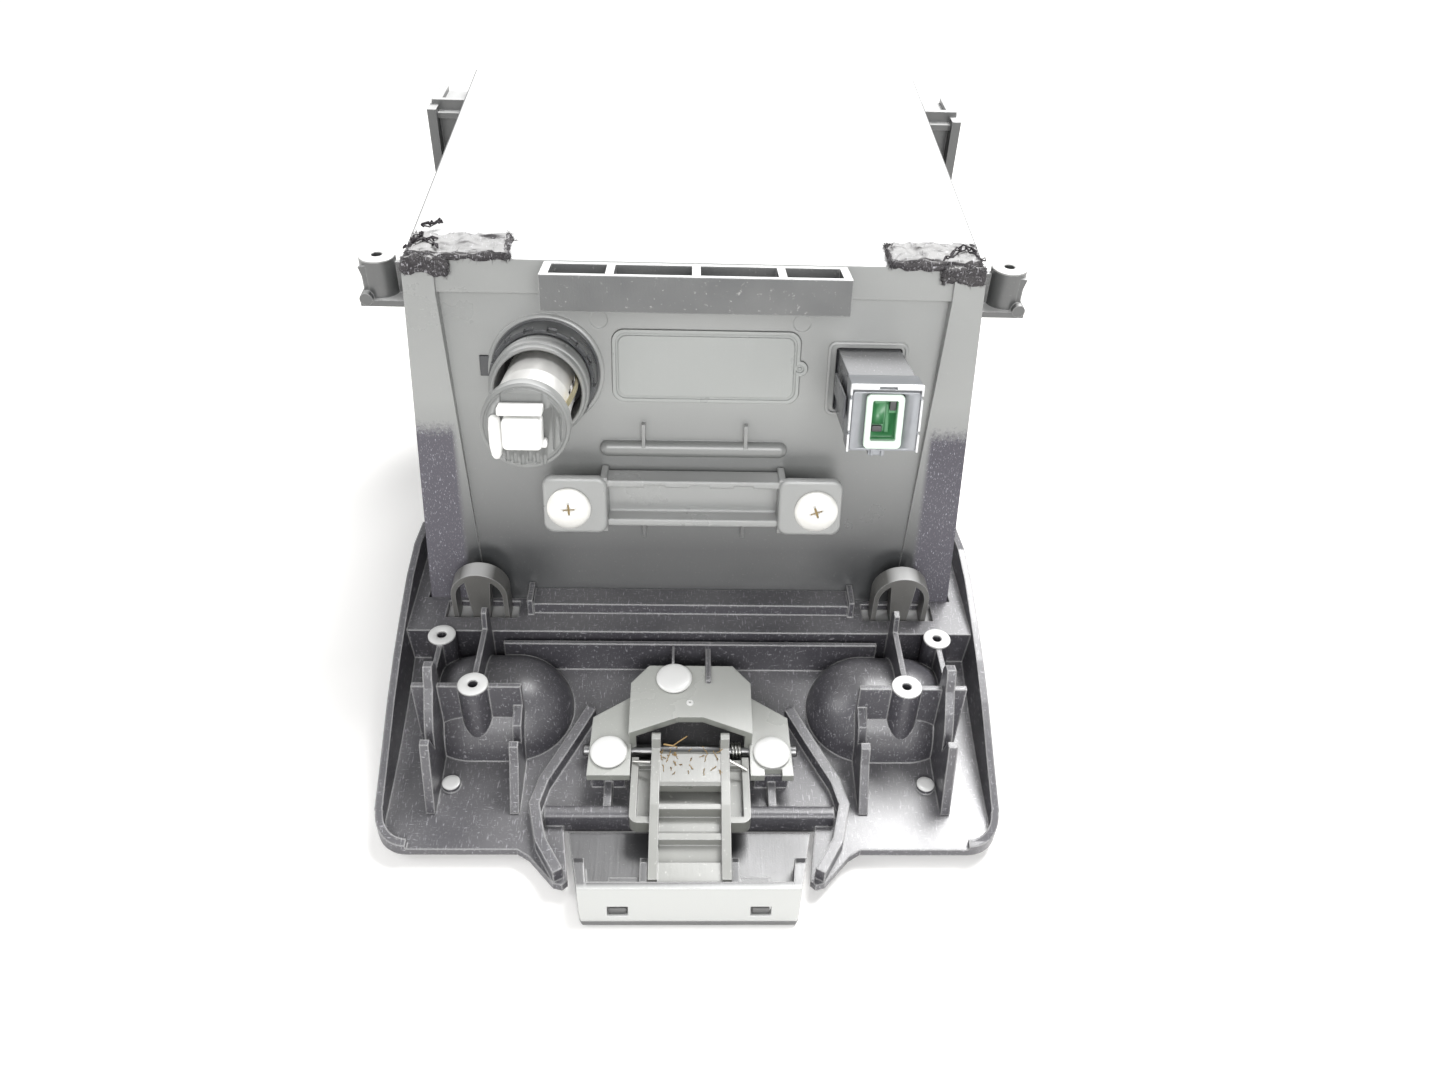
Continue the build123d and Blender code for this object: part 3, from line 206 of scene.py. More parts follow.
def object_spot(tree):
    return add_node(tree, "ShaderNodeTexCoord").outputs["Object"]


def one_axis(tree, vector, axis):
    split = add_node(tree, "ShaderNodeSeparateXYZ")
    tree.links.new(vector, split.inputs[0])
    return split.outputs[axis]


def facing_up(tree):
    return one_axis(tree, add_node(tree, "ShaderNodeNewGeometry").outputs["Normal"], "Z")


def pattern(tree, scale, detail, roughness=0.5, stretch=None, turn=(0, 0, 0)):
    node = add_node(tree, "ShaderNodeTexNoise", Scale=scale, Detail=detail, Roughness=roughness)
    spot = object_spot(tree)
    if stretch:
        squeeze = add_node(tree, "ShaderNodeMapping", Rotation=turn, Scale=stretch)
        tree.links.new(spot, squeeze.inputs["Vector"])
        spot = squeeze.outputs[0]
    tree.links.new(spot, node.inputs["Vector"])
    return node.outputs["Fac"]


def relief(tree, height, strength, depth, normal):
    node = add_node(tree, "ShaderNodeBump", Strength=strength, Distance=depth)
    tree.links.new(height, node.inputs["Height"])
    tree.links.new(normal, node.inputs["Normal"])
    return node.outputs[0]


def dusted(tree, colour, dust, speck):
    settled = ramp(tree, facing_up(tree), -0.1, 1.0, 0.25)
    clouds = multiply(tree, settled, ramp(tree, pattern(tree, cloud_scale, 6), 0.2, 0.9))
    haze = multiply(tree, clouds, dust * 0.35)
    specks = ramp(tree, pattern(tree, speck, 4, 0.75), 0.62, 0.70)
    share = add_share(tree, multiply(tree, specks, settled), dust, haze)
    return blend(tree, share, colour, dust_colour), share


# Painted sheen: the front of the surface is painted paler along one axis, a painted reflection of the bright
# room in front.
def paint_sheen(tree, shade, axis, begins, full, share):
    spot = object_spot(tree)
    along = ramp(tree, one_axis(tree, spot, axis), begins, full, 0, share)
    on_front = ramp(tree, one_axis(tree, spot, "Y"), front_begins, front_full)
    return blend(tree, multiply(tree, along, on_front), shade, painted_sheen_colour)


# Painted highlight: flat upward faces above a given height are painted near white, standing in for the
# window light they catch.
def paint_top_highlight(tree, shade, top_highlight, top_highlight_above):
    flat = multiply(tree, ramp(tree, facing_up(tree), 0.80, 0.985), top_highlight)
    high_up = ramp(tree, one_axis(tree, object_spot(tree), "Z"), top_highlight_above, top_highlight_above + 0.01)
    return blend(tree, multiply(tree, flat, high_up), shade, painted_highlight_colour)


def linted(tree, shade, fuzz):
    lengthwise = ramp(tree, pattern(tree, 420, 3, 0.6, (5, 0.8, 1.6), (0.2, 0.1, 0.9)), 0.60, 0.72)
    crosswise = ramp(tree, pattern(tree, 560, 3, 0.6, (0.9, 4, 1.6), (0.1, 0.3, 0.4)), 0.62, 0.72)
    hairs = add_node(tree, "ShaderNodeMath", operation="MAXIMUM")
    tree.links.new(lengthwise, hairs.inputs[0])
    tree.links.new(crosswise, hairs.inputs[1])
    return blend(tree, multiply(tree, hairs.outputs[0], fuzz), shade, lint_colour)


# Painted highlight: edges, found where the rounded normal leaves the flat one, are painted near white.
def paint_edge_highlight(tree, shade, rounded, edge_highlight):
    bent = add_node(tree, "ShaderNodeVectorMath", operation="DOT_PRODUCT")
    tree.links.new(rounded, bent.inputs[0])
    tree.links.new(add_node(tree, "ShaderNodeNewGeometry").outputs["True Normal"], bent.inputs[1])
    return blend(tree, ramp(tree, bent.outputs["Value"], 0.985, 0.86, 0, edge_highlight), shade, painted_highlight_colour)


def flocked(tree, shade, gloss, cheek_from, flock_top, wall_front):
    spot = object_spot(tree)
    sideways = add_node(tree, "ShaderNodeMath", operation="ABSOLUTE")
    tree.links.new(one_axis(tree, spot, "X"), sideways.inputs[0])
    on_cheek = ramp(tree, sideways.outputs[0], cheek_from, cheek_from + 0.002)
    ragged = add_share(tree, pattern(tree, 900, 4, 0.8), 0.012, one_axis(tree, spot, "Z"))
    below = ramp(tree, ragged, flock_top + 0.009, flock_top + 0.004)
    in_front = ramp(tree, one_axis(tree, spot, "Y"), wall_front, wall_front - 0.002)
    covered = multiply(tree, multiply(tree, on_cheek, below), in_front)
    tips = ramp(tree, pattern(tree, 1000, 4, 0.7, (2.5, 1, 1), (0.3, 0.5, 0.4)), 0.58, 0.70)
    flock = blend(tree, tips, flock_colour, flock_tips)
    return blend(tree, covered, shade, flock), add_share(tree, covered, 0.5, gloss)


# Plastic finish: real dust, lint, flock, grain and scratches, plus painted light where asked: a painted
# sheen, a painted highlight on upward faces and a painted highlight on edges.
def moulded_plastic(name, colour, rough, grain=0.25, dust=0.35, speck=1300, top_highlight=0.0, top_highlight_above=-1.0,
                    painted_sheen=None, fuzz=0.0, flock=None, edge_highlight=0.0, edge=0.0005, scuff=0.5, ior=1.75):
    finish = bpy.data.materials.new(name)
    finish.use_nodes = True
    tree = finish.node_tree
    skin = tree.nodes["Principled BSDF"]
    skin.inputs["IOR"].default_value = ior
    shade, dust_share = dusted(tree, colour, dust, speck)
    if painted_sheen:
        shade = paint_sheen(tree, shade, *painted_sheen)
    if top_highlight:
        shade = paint_top_highlight(tree, shade, top_highlight, top_highlight_above)
    if fuzz:
        shade = linted(tree, shade, fuzz)
    rounded = add_node(tree, "ShaderNodeBevel", samples=4, Radius=edge).outputs[0]
    if edge_highlight:
        shade = paint_edge_highlight(tree, shade, rounded, edge_highlight)
    gloss = ramp(tree, pattern(tree, cloud_scale, 6), 0.15, 0.85, rough - 0.07, rough + 0.10)
    if flock:
        shade, gloss = flocked(tree, shade, gloss, *flock)
    tree.links.new(shade, skin.inputs["Base Color"])
    tree.links.new(add_share(tree, dust_share, 0.3, gloss), skin.inputs["Roughness"])
    grained = relief(tree, pattern(tree, grain_scale, 3), grain, 0.00025, rounded)
    scratches = pattern(tree, scratch_scale, 5, 0.5, (14, 0.6, 0.8), (0.3, 0.2, 0.7))
    tree.links.new(relief(tree, scratches, scuff * 0.25, 0.0002, grained), skin.inputs["Normal"])
    return finish


def dress(finish, *names):
    for name in names:
        mesh = nodes[name].data
        mesh.materials.clear()
        mesh.materials.append(finish)


bin_plastic = moulded_plastic("bin_plastic", (0.036, 0.038, 0.040), 0.30, grain=0.10, dust=0.2, top_highlight=0.8,
                              top_highlight_above=bin_top_highlight_above, painted_sheen=bin_painted_sheen, flock=bin_flock, edge_highlight=0.25,
                              scuff=0.3, ior=1.8)
moulding_plastic = moulded_plastic("moulding_plastic", (0.06, 0.062, 0.062), 0.34, grain=0.12, dust=0.4,
                                   top_highlight=0.6, edge_highlight=0.45, ior=1.85)
ledge_plastic = moulded_plastic("ledge_plastic", (0.060, 0.064, 0.066), 0.32, dust=1.0, speck=560,
                                top_highlight=0.9, edge_highlight=0.6, scuff=1.0)
dress(bin_plastic, "storage_bin")
dress(moulding_plastic, "ear_left", "ear_right", "guide_wing_left", "guide_wing_right")
dress(ledge_plastic, "locating_ledge")

# Face panel: a moulding of the same black plastic, screwed to the console by its four
# bosses. Its back is covered with short flock and lint, its edges carry a painted
# highlight, and its upward faces a faint painted highlight.
panel_plastic = moulded_plastic("panel_plastic", (0.050, 0.048, 0.058), 0.34, grain=0.14, dust=0.4,
                                top_highlight=0.04, fuzz=0.55, edge_highlight=0.6, edge=0.0009, scuff=0.3)
dress(panel_plastic, "face_panel")

# Trim clips: two arched clips of dark olive grey acetal that stand in slots of the
# face panel's shelf, with dust on their tops and a painted highlight on their tops and edges.
clip_acetal = moulded_plastic("clip_acetal", (0.11, 0.108, 0.102), 0.34, grain=0.1, dust=0.4, top_highlight=0.7,
                              edge_highlight=0.3)
dress(clip_acetal, "trim_clip_left", "trim_clip_right")

# Latch: a ladder-shaped lever of olive grey acetal, waxy. It is held by an arched
# retainer of smoother plastic, heat staked to posts of the panel. Both carry a
# painted highlight on their edges and upward faces.
lever_acetal = moulded_plastic("lever_acetal", (0.19, 0.193, 0.176), 0.28, grain=0.08, dust=0.6, speck=520,
                               top_highlight=0.12, edge_highlight=0.6, ior=1.8)
retainer_plastic = moulded_plastic("retainer_plastic", (0.31, 0.32, 0.292), 0.24, grain=0.06, dust=0.3,
                                   top_highlight=0.2, edge_highlight=0.3, ior=1.8)
dress(lever_acetal, "latch_lever")
dress(retainer_plastic, "latch_retainer")

# Release handle: a black trough pegged to the lever's near end. Its smooth front plate
# is painted nearly white as a painted sheen, and its edges carry a painted highlight.
# A plain cover plate clips under it.
handle_painted_sheen = ("Y", -0.1455, -0.1475, 0.80)
handle_plastic = moulded_plastic("handle_plastic", (0.022, 0.022, 0.026), 0.34, grain=0.08, dust=0.25,
                                 painted_sheen=handle_painted_sheen, edge_highlight=0.8, edge=0.0009, ior=1.9)
trim_plastic = moulded_plastic("trim_plastic", (0.10, 0.10, 0.10), 0.34, grain=0.12, dust=0.3)
dress(handle_plastic, "release_handle")
dress(trim_plastic, "handle_trim")


# Pivot pin and torsion spring: a drawn steel pin through the lever's hub, and a coil
# of bright spring wire round it that presses the lever shut.
def plated_metal(name, colour, rough, stretch=(1, 1, 1), metal=1.0):
    finish = bpy.data.materials.new(name)
    finish.use_nodes = True
    tree = finish.node_tree
    skin = tree.nodes["Principled BSDF"]
    skin.inputs["Metallic"].default_value = metal
    lines = pattern(tree, 300, 5, stretch=stretch)
    darker = tuple(part * 0.78 for part in colour)
    tree.links.new(blend(tree, lines, darker, colour), skin.inputs["Base Color"])
    tree.links.new(ramp(tree, lines, 0, 1, rough - 0.08, rough + 0.14), skin.inputs["Roughness"])
    rounded = add_node(tree, "ShaderNodeBevel", samples=4, Radius=0.0003).outputs[0]
    tree.links.new(relief(tree, lines, 0.12, 0.0001, rounded), skin.inputs["Normal"])
    return finish


dark_steel = plated_metal("dark_steel", (0.30, 0.30, 0.30), 0.34, stretch=(0.1, 1, 1))
spring_wire = plated_metal("spring_wire", (0.72, 0.71, 0.68), 0.26)
dress(dark_steel, "pivot_pin")
dress(spring_wire, "torsion_spring")

# Blanking plate: a thin moulded plate that closes the middle opening of the wall. It
# is smoother than the wall, with faint flow lines.
plate_plastic = moulded_plastic("plate_plastic", (0.34, 0.352, 0.34), 0.28, grain=0.05, dust=0.3, scuff=1.2,
                                ior=1.8)
dress(plate_plastic, "blanking_plate")

# Cross bracket and its screws: a moulded bridge, paler than the bin, held on sleeves
# by two zinc plated screws with a wide, nearly flat head and a small cross recess.
# Places are in millimetres: across, down and out from the top of the leaning wall.
# The bracket's upward faces and edges carry a painted highlight.
bracket_plastic = moulded_plastic("bracket_plastic", (0.29, 0.296, 0.29), 0.28, grain=0.08, dust=0.3,
                                  top_highlight=0.3, edge_highlight=0.35, edge=0.0013, ior=1.95)
dress(bracket_plastic, "cross_bracket")
screw_zinc = plated_metal("screw_zinc", (0.95, 0.94, 0.90), 0.42, metal=0.35)
recess_dirt = plated_metal("recess_dirt", (0.30, 0.22, 0.10), 0.5, metal=0.4)
wall_lean = 13.333
lean_back, lean_up = 0.2306, 0.9731
wall_top_y, wall_top_z = -10.698, 152.08
screw_across, screw_down, tab_face = 41.9, 80.7, 12.8
head_top = 1.9
cross_long, cross_wide, cross_deep = 4.0, 0.75, 0.9
screw_outline = ((1.0, -15.0), (2.1, -13.2), (2.1, 0.0), (7.30, 0.0), (7.42, 0.15), (7.42, 0.55),
                 (7.2, 0.85), (6.4, 1.15), (5.0, 1.5), (3.4, 1.78), (1.6, 1.92))
dirt_outline = ((0.2, 1.02), (2.05, 1.02), (2.05, 1.1), (0.2, 1.1))


def only(piece):
    bpy.ops.object.select_all(action="DESELECT")
    piece.select_set(True)
    bpy.context.view_layer.objects.active = piece


def smooth(piece, degrees=34):
    only(piece)
    bpy.ops.object.shade_smooth_by_angle(angle=math.radians(degrees))


def put(piece, spot, turn=(0, 0, 0)):
    piece.location = [v / 1000 for v in spot]
    piece.rotation_euler = turn
    only(piece)
    bpy.ops.object.transform_apply(location=True, rotation=True, scale=True)


def seat(piece, across, down, out=0):
    put(piece, (across, wall_top_y - lean_back * down - lean_up * out,
                wall_top_z - lean_up * down + lean_back * out), (math.radians(90 - wall_lean), 0, 0))


def turned(name, outline, sides=96, closed=False):
    bpy.ops.object.select_all(action="DESELECT")
    at, level = outline[0]
    bpy.ops.mesh.primitive_circle_add(vertices=sides, radius=at / 1000, location=(0, 0, level / 1000))
    piece = bpy.context.object
    piece.name = name
    bpy.ops.object.transform_apply(location=True, rotation=True, scale=True)
    bpy.ops.object.mode_set(mode="EDIT")
    bpy.ops.mesh.select_all(action="SELECT")
    for radius, height in outline[1:]:
        bpy.ops.mesh.extrude_edges_move()
        bpy.ops.transform.resize(value=(radius / at, radius / at, 1), center_override=(0, 0, 0))
        bpy.ops.transform.translate(value=(0, 0, (height - level) / 1000))
        at, level = radius, height
    bpy.ops.mesh.select_all(action="SELECT")
    if closed:
        bpy.ops.mesh.remove_doubles(threshold=1e-6)
    else:
        bpy.ops.mesh.fill_holes(sides=0)
    bpy.ops.mesh.select_all(action="SELECT")
    bpy.ops.mesh.normals_make_consistent(inside=False)
    bpy.ops.object.mode_set(mode="OBJECT")
    smooth(piece)
    return piece


def rounded_block(name, middle, size, corner=0.0, edge=0.25):
    bpy.ops.object.select_all(action="DESELECT")
    bpy.ops.mesh.primitive_cube_add(size=1, location=[v / 1000 for v in middle],
                                    scale=[v / 1000 for v in size])
    piece = bpy.context.object
    piece.name = name
    bpy.ops.object.transform_apply(location=True, rotation=True, scale=True)
    if corner:
        bpy.ops.object.mode_set(mode="EDIT")
        bpy.ops.mesh.select_all(action="DESELECT")
        bpy.ops.mesh.select_mode(type="EDGE")
        bpy.ops.object.mode_set(mode="OBJECT")
        for line in piece.data.edges:
            first, last = (piece.data.vertices[i].co for i in line.vertices)
            line.select = abs(first.z - last.z) > 1e-6
        bpy.ops.object.mode_set(mode="EDIT")
        bpy.ops.mesh.bevel(offset=corner / 1000, segments=8)
        bpy.ops.mesh.select_mode(type="VERT")
        bpy.ops.object.mode_set(mode="OBJECT")
    if edge:
        soft = piece.modifiers.new("soft", "BEVEL")
        soft.width = edge / 1000
        soft.segments = 3
        soft.limit_method = "ANGLE"
        soft.angle_limit = math.radians(40)
        only(piece)
        bpy.ops.object.modifier_apply(modifier="soft")
    smooth(piece)
    return piece


def cut_away(piece, cutter, kind="DIFFERENCE"):
    tool = piece.modifiers.new("cut", "BOOLEAN")
    tool.operation = kind
    tool.solver = "EXACT"
    tool.object = cutter
    only(piece)
    bpy.ops.object.modifier_apply(modifier="cut")
    bpy.data.objects.remove(cutter)


def hand_in(piece, finish, carrier="console", instead=()):
    piece.data.materials.clear()
    piece.data.materials.append(finish)
    if instead:
        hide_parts(*instead)
    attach(piece, carrier)


for side, first_turn, name in ((-1, 4, "left"), (1, 20, "right")):
    screw = turned(f"cross_head_screw_{name}", screw_outline)
    for degrees in (first_turn, first_turn + 90):
        recess = rounded_block("recess", (0, 0, head_top), (cross_long, cross_wide, cross_deep * 2), edge=0)
        recess.rotation_euler = (0, 0, math.radians(degrees))
        cut_away(screw, recess)
    seat(screw, side * screw_across, screw_down, tab_face)
    hand_in(screw, screw_zinc, instead=(f"bracket_screw_{name}",))
    dirt = turned(f"recess_dirt_{name}", dirt_outline, 24)
    seat(dirt, side * screw_across, screw_down, tab_face)
    hand_in(dirt, recess_dirt)

# 12 volt socket: a black notched ring and a rounded lip at its hole, a grey nylon
# sleeve with a stepped rim, the bright barrel with two slots, and the grooved cap
# that carries a white connector. Each outline is of radius and height off the wall.
socket_across, socket_down = -49.0, 36.8
ring_plastic = moulded_plastic("ring_plastic", (0.034, 0.036, 0.040), 0.28, grain=0.06, dust=0.3)
tinned_brass = plated_metal("tinned_brass", (0.78, 0.68, 0.42), 0.3)
dress(ring_plastic, "socket_retaining_ring")
dress(tinned_brass, "socket_contact")
lip_outline = ((17.6, -0.2), (17.6, 0.55), (18.0, 0.85), (18.7, 0.75), (19.2, 0.35), (19.3, -0.2),
               (17.6, -0.2))
lip = turned("socket_hole_lip", lip_outline, closed=True)
seat(lip, socket_across, socket_down)
hand_in(lip, bin_plastic)

# The sleeve's upward faces carry a painted highlight.
sleeve_nylon = moulded_plastic("sleeve_nylon", (0.24, 0.245, 0.24), 0.36, grain=0.1, top_highlight=0.5)
sleeve_outline = ((13.55, 1.0), (15.3, 1.0), (15.3, 12.0), (15.55, 12.6), (15.65, 14.8), (15.3, 15.4),
                  (15.3, 16.2), (15.75, 16.8), (15.85, 19.4), (15.6, 19.9), (15.0, 20.1), (14.95, 22.0),
                  (14.7, 22.5), (13.9, 22.5), (13.6, 22.1), (13.55, 1.0))
notch_radius, notch_high = 15.9, 14.0
sleeve = turned("socket_sleeve", sleeve_outline, 112, closed=True)
for degrees in range(12, 360, 45):
    angle = math.radians(degrees)
    middle = (notch_radius * math.cos(angle), notch_radius * math.sin(angle), notch_high)
    cut_away(sleeve, rounded_block("notch", middle, (0.7, 0.9, 3.2), edge=0))
seat(sleeve, socket_across, socket_down)
hand_in(sleeve, sleeve_nylon, instead=("socket_bezel",))

barrel_steel = plated_metal("barrel_steel", (0.93, 0.92, 0.89), 0.34, stretch=(1, 0.1, 1), metal=0.6)
barrel_outline = ((10.5, 1.2), (11.4, 1.2), (11.4, 9.0), (11.55, 9.4), (11.55, 10.4), (11.4, 10.8),
                  (11.4, 33.0), (11.52, 33.3), (11.52, 34.2), (11.4, 34.5), (11.4, 45.6), (10.9, 46.8),
                  (10.5, 46.8), (10.5, 1.2))
barrel = turned("socket_tube", barrel_outline, 112, closed=True)
for slot_high in (18.5, 29.0):
    window = rounded_block("window", (11.2, 2.6, slot_high), (3.0, 2.2, 7.0), edge=0)
    cut_away(barrel, window)
seat(barrel, socket_across, socket_down)
hand_in(barrel, barrel_steel, instead=("socket_barrel",))

# The cap's upward faces carry a painted highlight.
cap_nylon = moulded_plastic("cap_nylon", (0.20, 0.205, 0.20), 0.34, grain=0.1, top_highlight=0.3)
cap_outline = ((12.2, 46.9), (12.9, 47.2), (13.1, 47.8), (13.1, 50.9), (12.95, 51.5), (12.5, 51.8),
               (12.0, 51.8), (11.8, 51.45), (11.3, 51.45), (11.1, 51.7))
cap_top = 52.0
tooth_pitch, tooth_fall = 2.15, 0.5
cap = turned("socket_cap", cap_outline, 112)
pit = rounded_block("pit", (-0.6, 7.6, cap_top - 0.1), (12.0, 4.4, 1.9), edge=0)
cut_away(cap, pit)
for across, long in ((8.1, 13.0), (10.3, 7.28)):
    groove = rounded_block("groove", (across, -0.6, cap_top), (0.5, long, 1.5), edge=0)
    cut_away(cap, groove)
for count in range(6):
    middle = (-5.4 + tooth_pitch * count, -9.3 - tooth_fall * (count % 3), cap_top)
    cut_away(cap, rounded_block("tooth_gap", middle, (1.1, 3.2, 1.6), edge=0))
seat(cap, socket_across, socket_down)
hand_in(cap, cap_nylon, instead=("socket_end_cap",))

white_nylon = moulded_plastic("white_nylon", (0.86, 0.86, 0.84), 0.35, grain=0.08, dust=0.08)
plug = rounded_block("plug_body", (-0.2, -0.4, 54.7), (11.2, 9.4, 6.0), corner=1.4, edge=0.5)
for name, middle, size, corner, edge in (("plug_bar", (-0.7, 6.1, 54.2), (12.8, 2.4, 5.2), 0.5, 0.35),
                                         ("plug_under", (-0.4, 1.0, 53.2), (10.0, 9.0, 2.9), 0.8, 0),
                                         ("plug_foot", (5.4, -4.4, 52.9), (2.0, 2.4, 2.6), 0.6, 0.3)):
    cut_away(plug, rounded_block(name, middle, size, corner, edge), "UNION")
smooth(plug)
seat(plug, socket_across, socket_down)
hand_in(plug, white_nylon, instead=("socket_connector",))
tail_outline = ((1.2, -7.2), (1.75, -6.6), (2.05, -3.5), (2.0, 1.5), (1.5, 4.6), (0.9, 5.6), (0.3, 5.9))
tail = turned("plug_latch", tail_outline, 32)
tail.scale = (0.95, 1.0, 1.0)
put(tail, (-8.2, -3.4, 53.7), (math.radians(90), 0, 0))
seat(tail, socket_across, socket_down)
hand_in(tail, white_nylon)

# Earth strap of the socket: a narrow tinned strip that leaves the barrel's rim, bows
# out on the right and runs back into the sleeve.
strap_wide, strap_thick = 1.6, 0.4
strap_turn = -20
strap_path = ((11.6, 45.3), (12.3, 42.0), (13.0, 36.0), (13.3, 30.0), (13.1, 25.0), (12.6, 21.0),
              (12.3, 17.0))
bpy.ops.object.select_all(action="DESELECT")
bpy.ops.mesh.primitive_plane_add(size=1, location=(0, 0, 0))
strap = bpy.context.object
strap.name = "earth_strap"
strap_out, strap_high = strap_path[0]
for vertex in strap.data.vertices:
    outer = strap_thick if vertex.co.x > 0 else 0
    vertex.co = ((strap_out + outer) / 1000, vertex.co.y * strap_wide / 1000, strap_high / 1000)
bpy.ops.object.mode_set(mode="EDIT")
bpy.ops.mesh.select_all(action="SELECT")
for before, after in zip(strap_path, strap_path[1:]):
    bpy.ops.mesh.extrude_region_move()
    bpy.ops.transform.translate(value=((after[0] - before[0]) / 1000, 0, (after[1] - before[1]) / 1000))
bpy.ops.mesh.select_all(action="SELECT")
bpy.ops.mesh.normals_make_consistent(inside=False)
bpy.ops.transform.rotate(value=math.radians(strap_turn), orient_axis="Z", center_override=(0, 0, 0))
bpy.ops.object.mode_set(mode="OBJECT")
smooth(strap, 40)
seat(strap, socket_across, socket_down)
hand_in(strap, tinned_brass)

# USB unit: a black body in a folded sheet shell with a bright hem and notched flaps.
# A white rimmed plug frame with a green well stands in its back, over a small
# release tab, and the wall's hole has a rounded lip.
usb_across, usb_down, usb_back = 57.6, 38.0, 37.0
frame_across, frame_up = -0.3, -0.9
frame_wide, frame_high, frame_gap = 11.6, 17.3, 0.3
well_up, well_wide, well_high, well_floor = -0.5, 8.0, 13.0, usb_back - 2.0
tab_across, tab_up = -1.5, -11.3
hole_across, hole_up, hole_wide, hole_high, lip_wide = -0.4, 0.2, 24.6, 23.4, 2.0
# The unit body's upward faces carry a painted highlight.
unit_plastic = moulded_plastic("unit_plastic", (0.095, 0.098, 0.108), 0.22, grain=0.06, dust=0.3, top_highlight=0.2)
shell_steel = plated_metal("shell_steel", (0.34, 0.35, 0.37), 0.30, stretch=(0.2, 1, 1), metal=0.8)
dress(unit_plastic, "usb_housing")
dress(shell_steel, "usb_clip_shell")

bright_sheet = plated_metal("bright_sheet", (0.86, 0.87, 0.88), 0.28, stretch=(0.2, 1, 1), metal=0.6)
hem = rounded_block("usb_folded_hem", (0, 9.9, usb_back + 0.1), (22.2, 1.7, 1.5), corner=0.5, edge=0.4)
cut_away(hem, rounded_block("notch", (0.2, 9.7, usb_back + 0.7), (5.4, 0.9, 1.4), edge=0))
for side in (-1, 1):
    flap = rounded_block("flap", (side * 10.75, -0.6, usb_back - 0.05), (0.7, 20.6, 1.3), 0.15, 0.15)
    for gap_up in (6.6, -4.6):
        cut_away(flap, rounded_block("gap", (side * 10.9, gap_up, usb_back), (1.6, 1.3, 3.0), edge=0))
    cut_away(hem, flap, "UNION")
smooth(hem)
seat(hem, usb_across, usb_down)
hand_in(hem, bright_sheet)

grey_sheet = plated_metal("grey_sheet", (0.36, 0.37, 0.39), 0.30, stretch=(1, 0.1, 1), metal=0.55)
face = rounded_block("usb_face", (0, frame_up, usb_back + 0.05), (20.4, 18.6, 0.7), corner=0.8, edge=0.2)
cut_away(face, rounded_block("opening", (frame_across, frame_up, usb_back),
                             (frame_wide + frame_gap, frame_high + frame_gap, 4), corner=1.2, edge=0))
seat(face, usb_across, usb_down)
hand_in(face, grey_sheet)

white_rim = moulded_plastic("white_rim", (0.72, 0.86, 0.74), 0.3, grain=0.05, dust=0.05)
plug_frame = rounded_block("usb_plug_frame", (frame_across, frame_up, usb_back + 0.35),
                           (frame_wide, frame_high, 2.0), corner=1.5, edge=0.4)
cut_away(plug_frame, rounded_block("hollow", (frame_across, well_up, usb_back + 0.4),
                                   (well_wide - 0.2, well_high - 0.2, 6), corner=0.6, edge=0))
smooth(plug_frame)
seat(plug_frame, usb_across, usb_down)
hand_in(plug_frame, white_rim, instead=("usb_connector", "usb_pins"))

inner_green = moulded_plastic("inner_green", (0.05, 0.23, 0.085), 0.35, grain=0.1, dust=0.1)
well = rounded_block("usb_plug_well", (frame_across, well_up, usb_back - 2.6), (well_wide, well_high, 5.6),
                     corner=0.6, edge=0)
cut_away(well, rounded_block("pocket", (frame_across, well_up, usb_back - 0.2),
                             (well_wide - 0.5, well_high - 0.5, 3.4), corner=0.5, edge=0))
for across, up, size in ((2.3, 3.6, (2.2, 4.6, 1.8)), (-1.9, -3.4, (3.6, 2.4, 2.0)),
                         (1.0, -0.5, (1.2, 9.0, 1.3)), (-1.4, 4.6, (3.6, 0.8, 1.2))):
    cut_away(well, rounded_block("rib", (across, up, well_floor), size, edge=0), "UNION")
seat(well, usb_across, usb_down)
hand_in(well, inner_green)

dark_plastic = moulded_plastic("dark_plastic", (0.015, 0.015, 0.017), 0.4, grain=0.08, dust=0.2)
for name, across, up, size in (("upper", 2.2, 4.2, (2.0, 3.4, 1.6)), ("lower", -2.2, -3.4, (3.2, 1.9, 1.6))):
    key = rounded_block(f"usb_plug_key_{name}", (across, up, usb_back - 0.6), size, corner=0.3, edge=0.15)
    seat(key, usb_across, usb_down)
    hand_in(key, dark_plastic)

tab = rounded_block("usb_release_tab", (tab_across, tab_up, usb_back - 1.6), (3.9, 2.2, 3.6))
cut_away(tab, rounded_block("inside", (tab_across, tab_up - 0.2, usb_back - 0.6), (2.5, 1.9, 3.4), edge=0))
seat(tab, usb_across, usb_down)
hand_in(tab, grey_sheet)

hole_lip = rounded_block("usb_hole_lip", (hole_across, hole_up, 0.25),
                         (hole_wide + lip_wide, hole_high + lip_wide, 0.9), corner=2.6, edge=0.35)
cut_away(hole_lip, rounded_block("through", (hole_across, hole_up, 0), (hole_wide, hole_high, 4),
                                 corner=2.0, edge=0))
smooth(hole_lip)
seat(hole_lip, usb_across, usb_down)
hand_in(hole_lip, bin_plastic)

side_clip = rounded_block("usb_side_clip", (-11.5, 1.0, 19.0), (0.8, 7.0, 24.0), edge=0.3)
seat(side_clip, usb_across, usb_down)
hand_in(side_clip, unit_plastic)

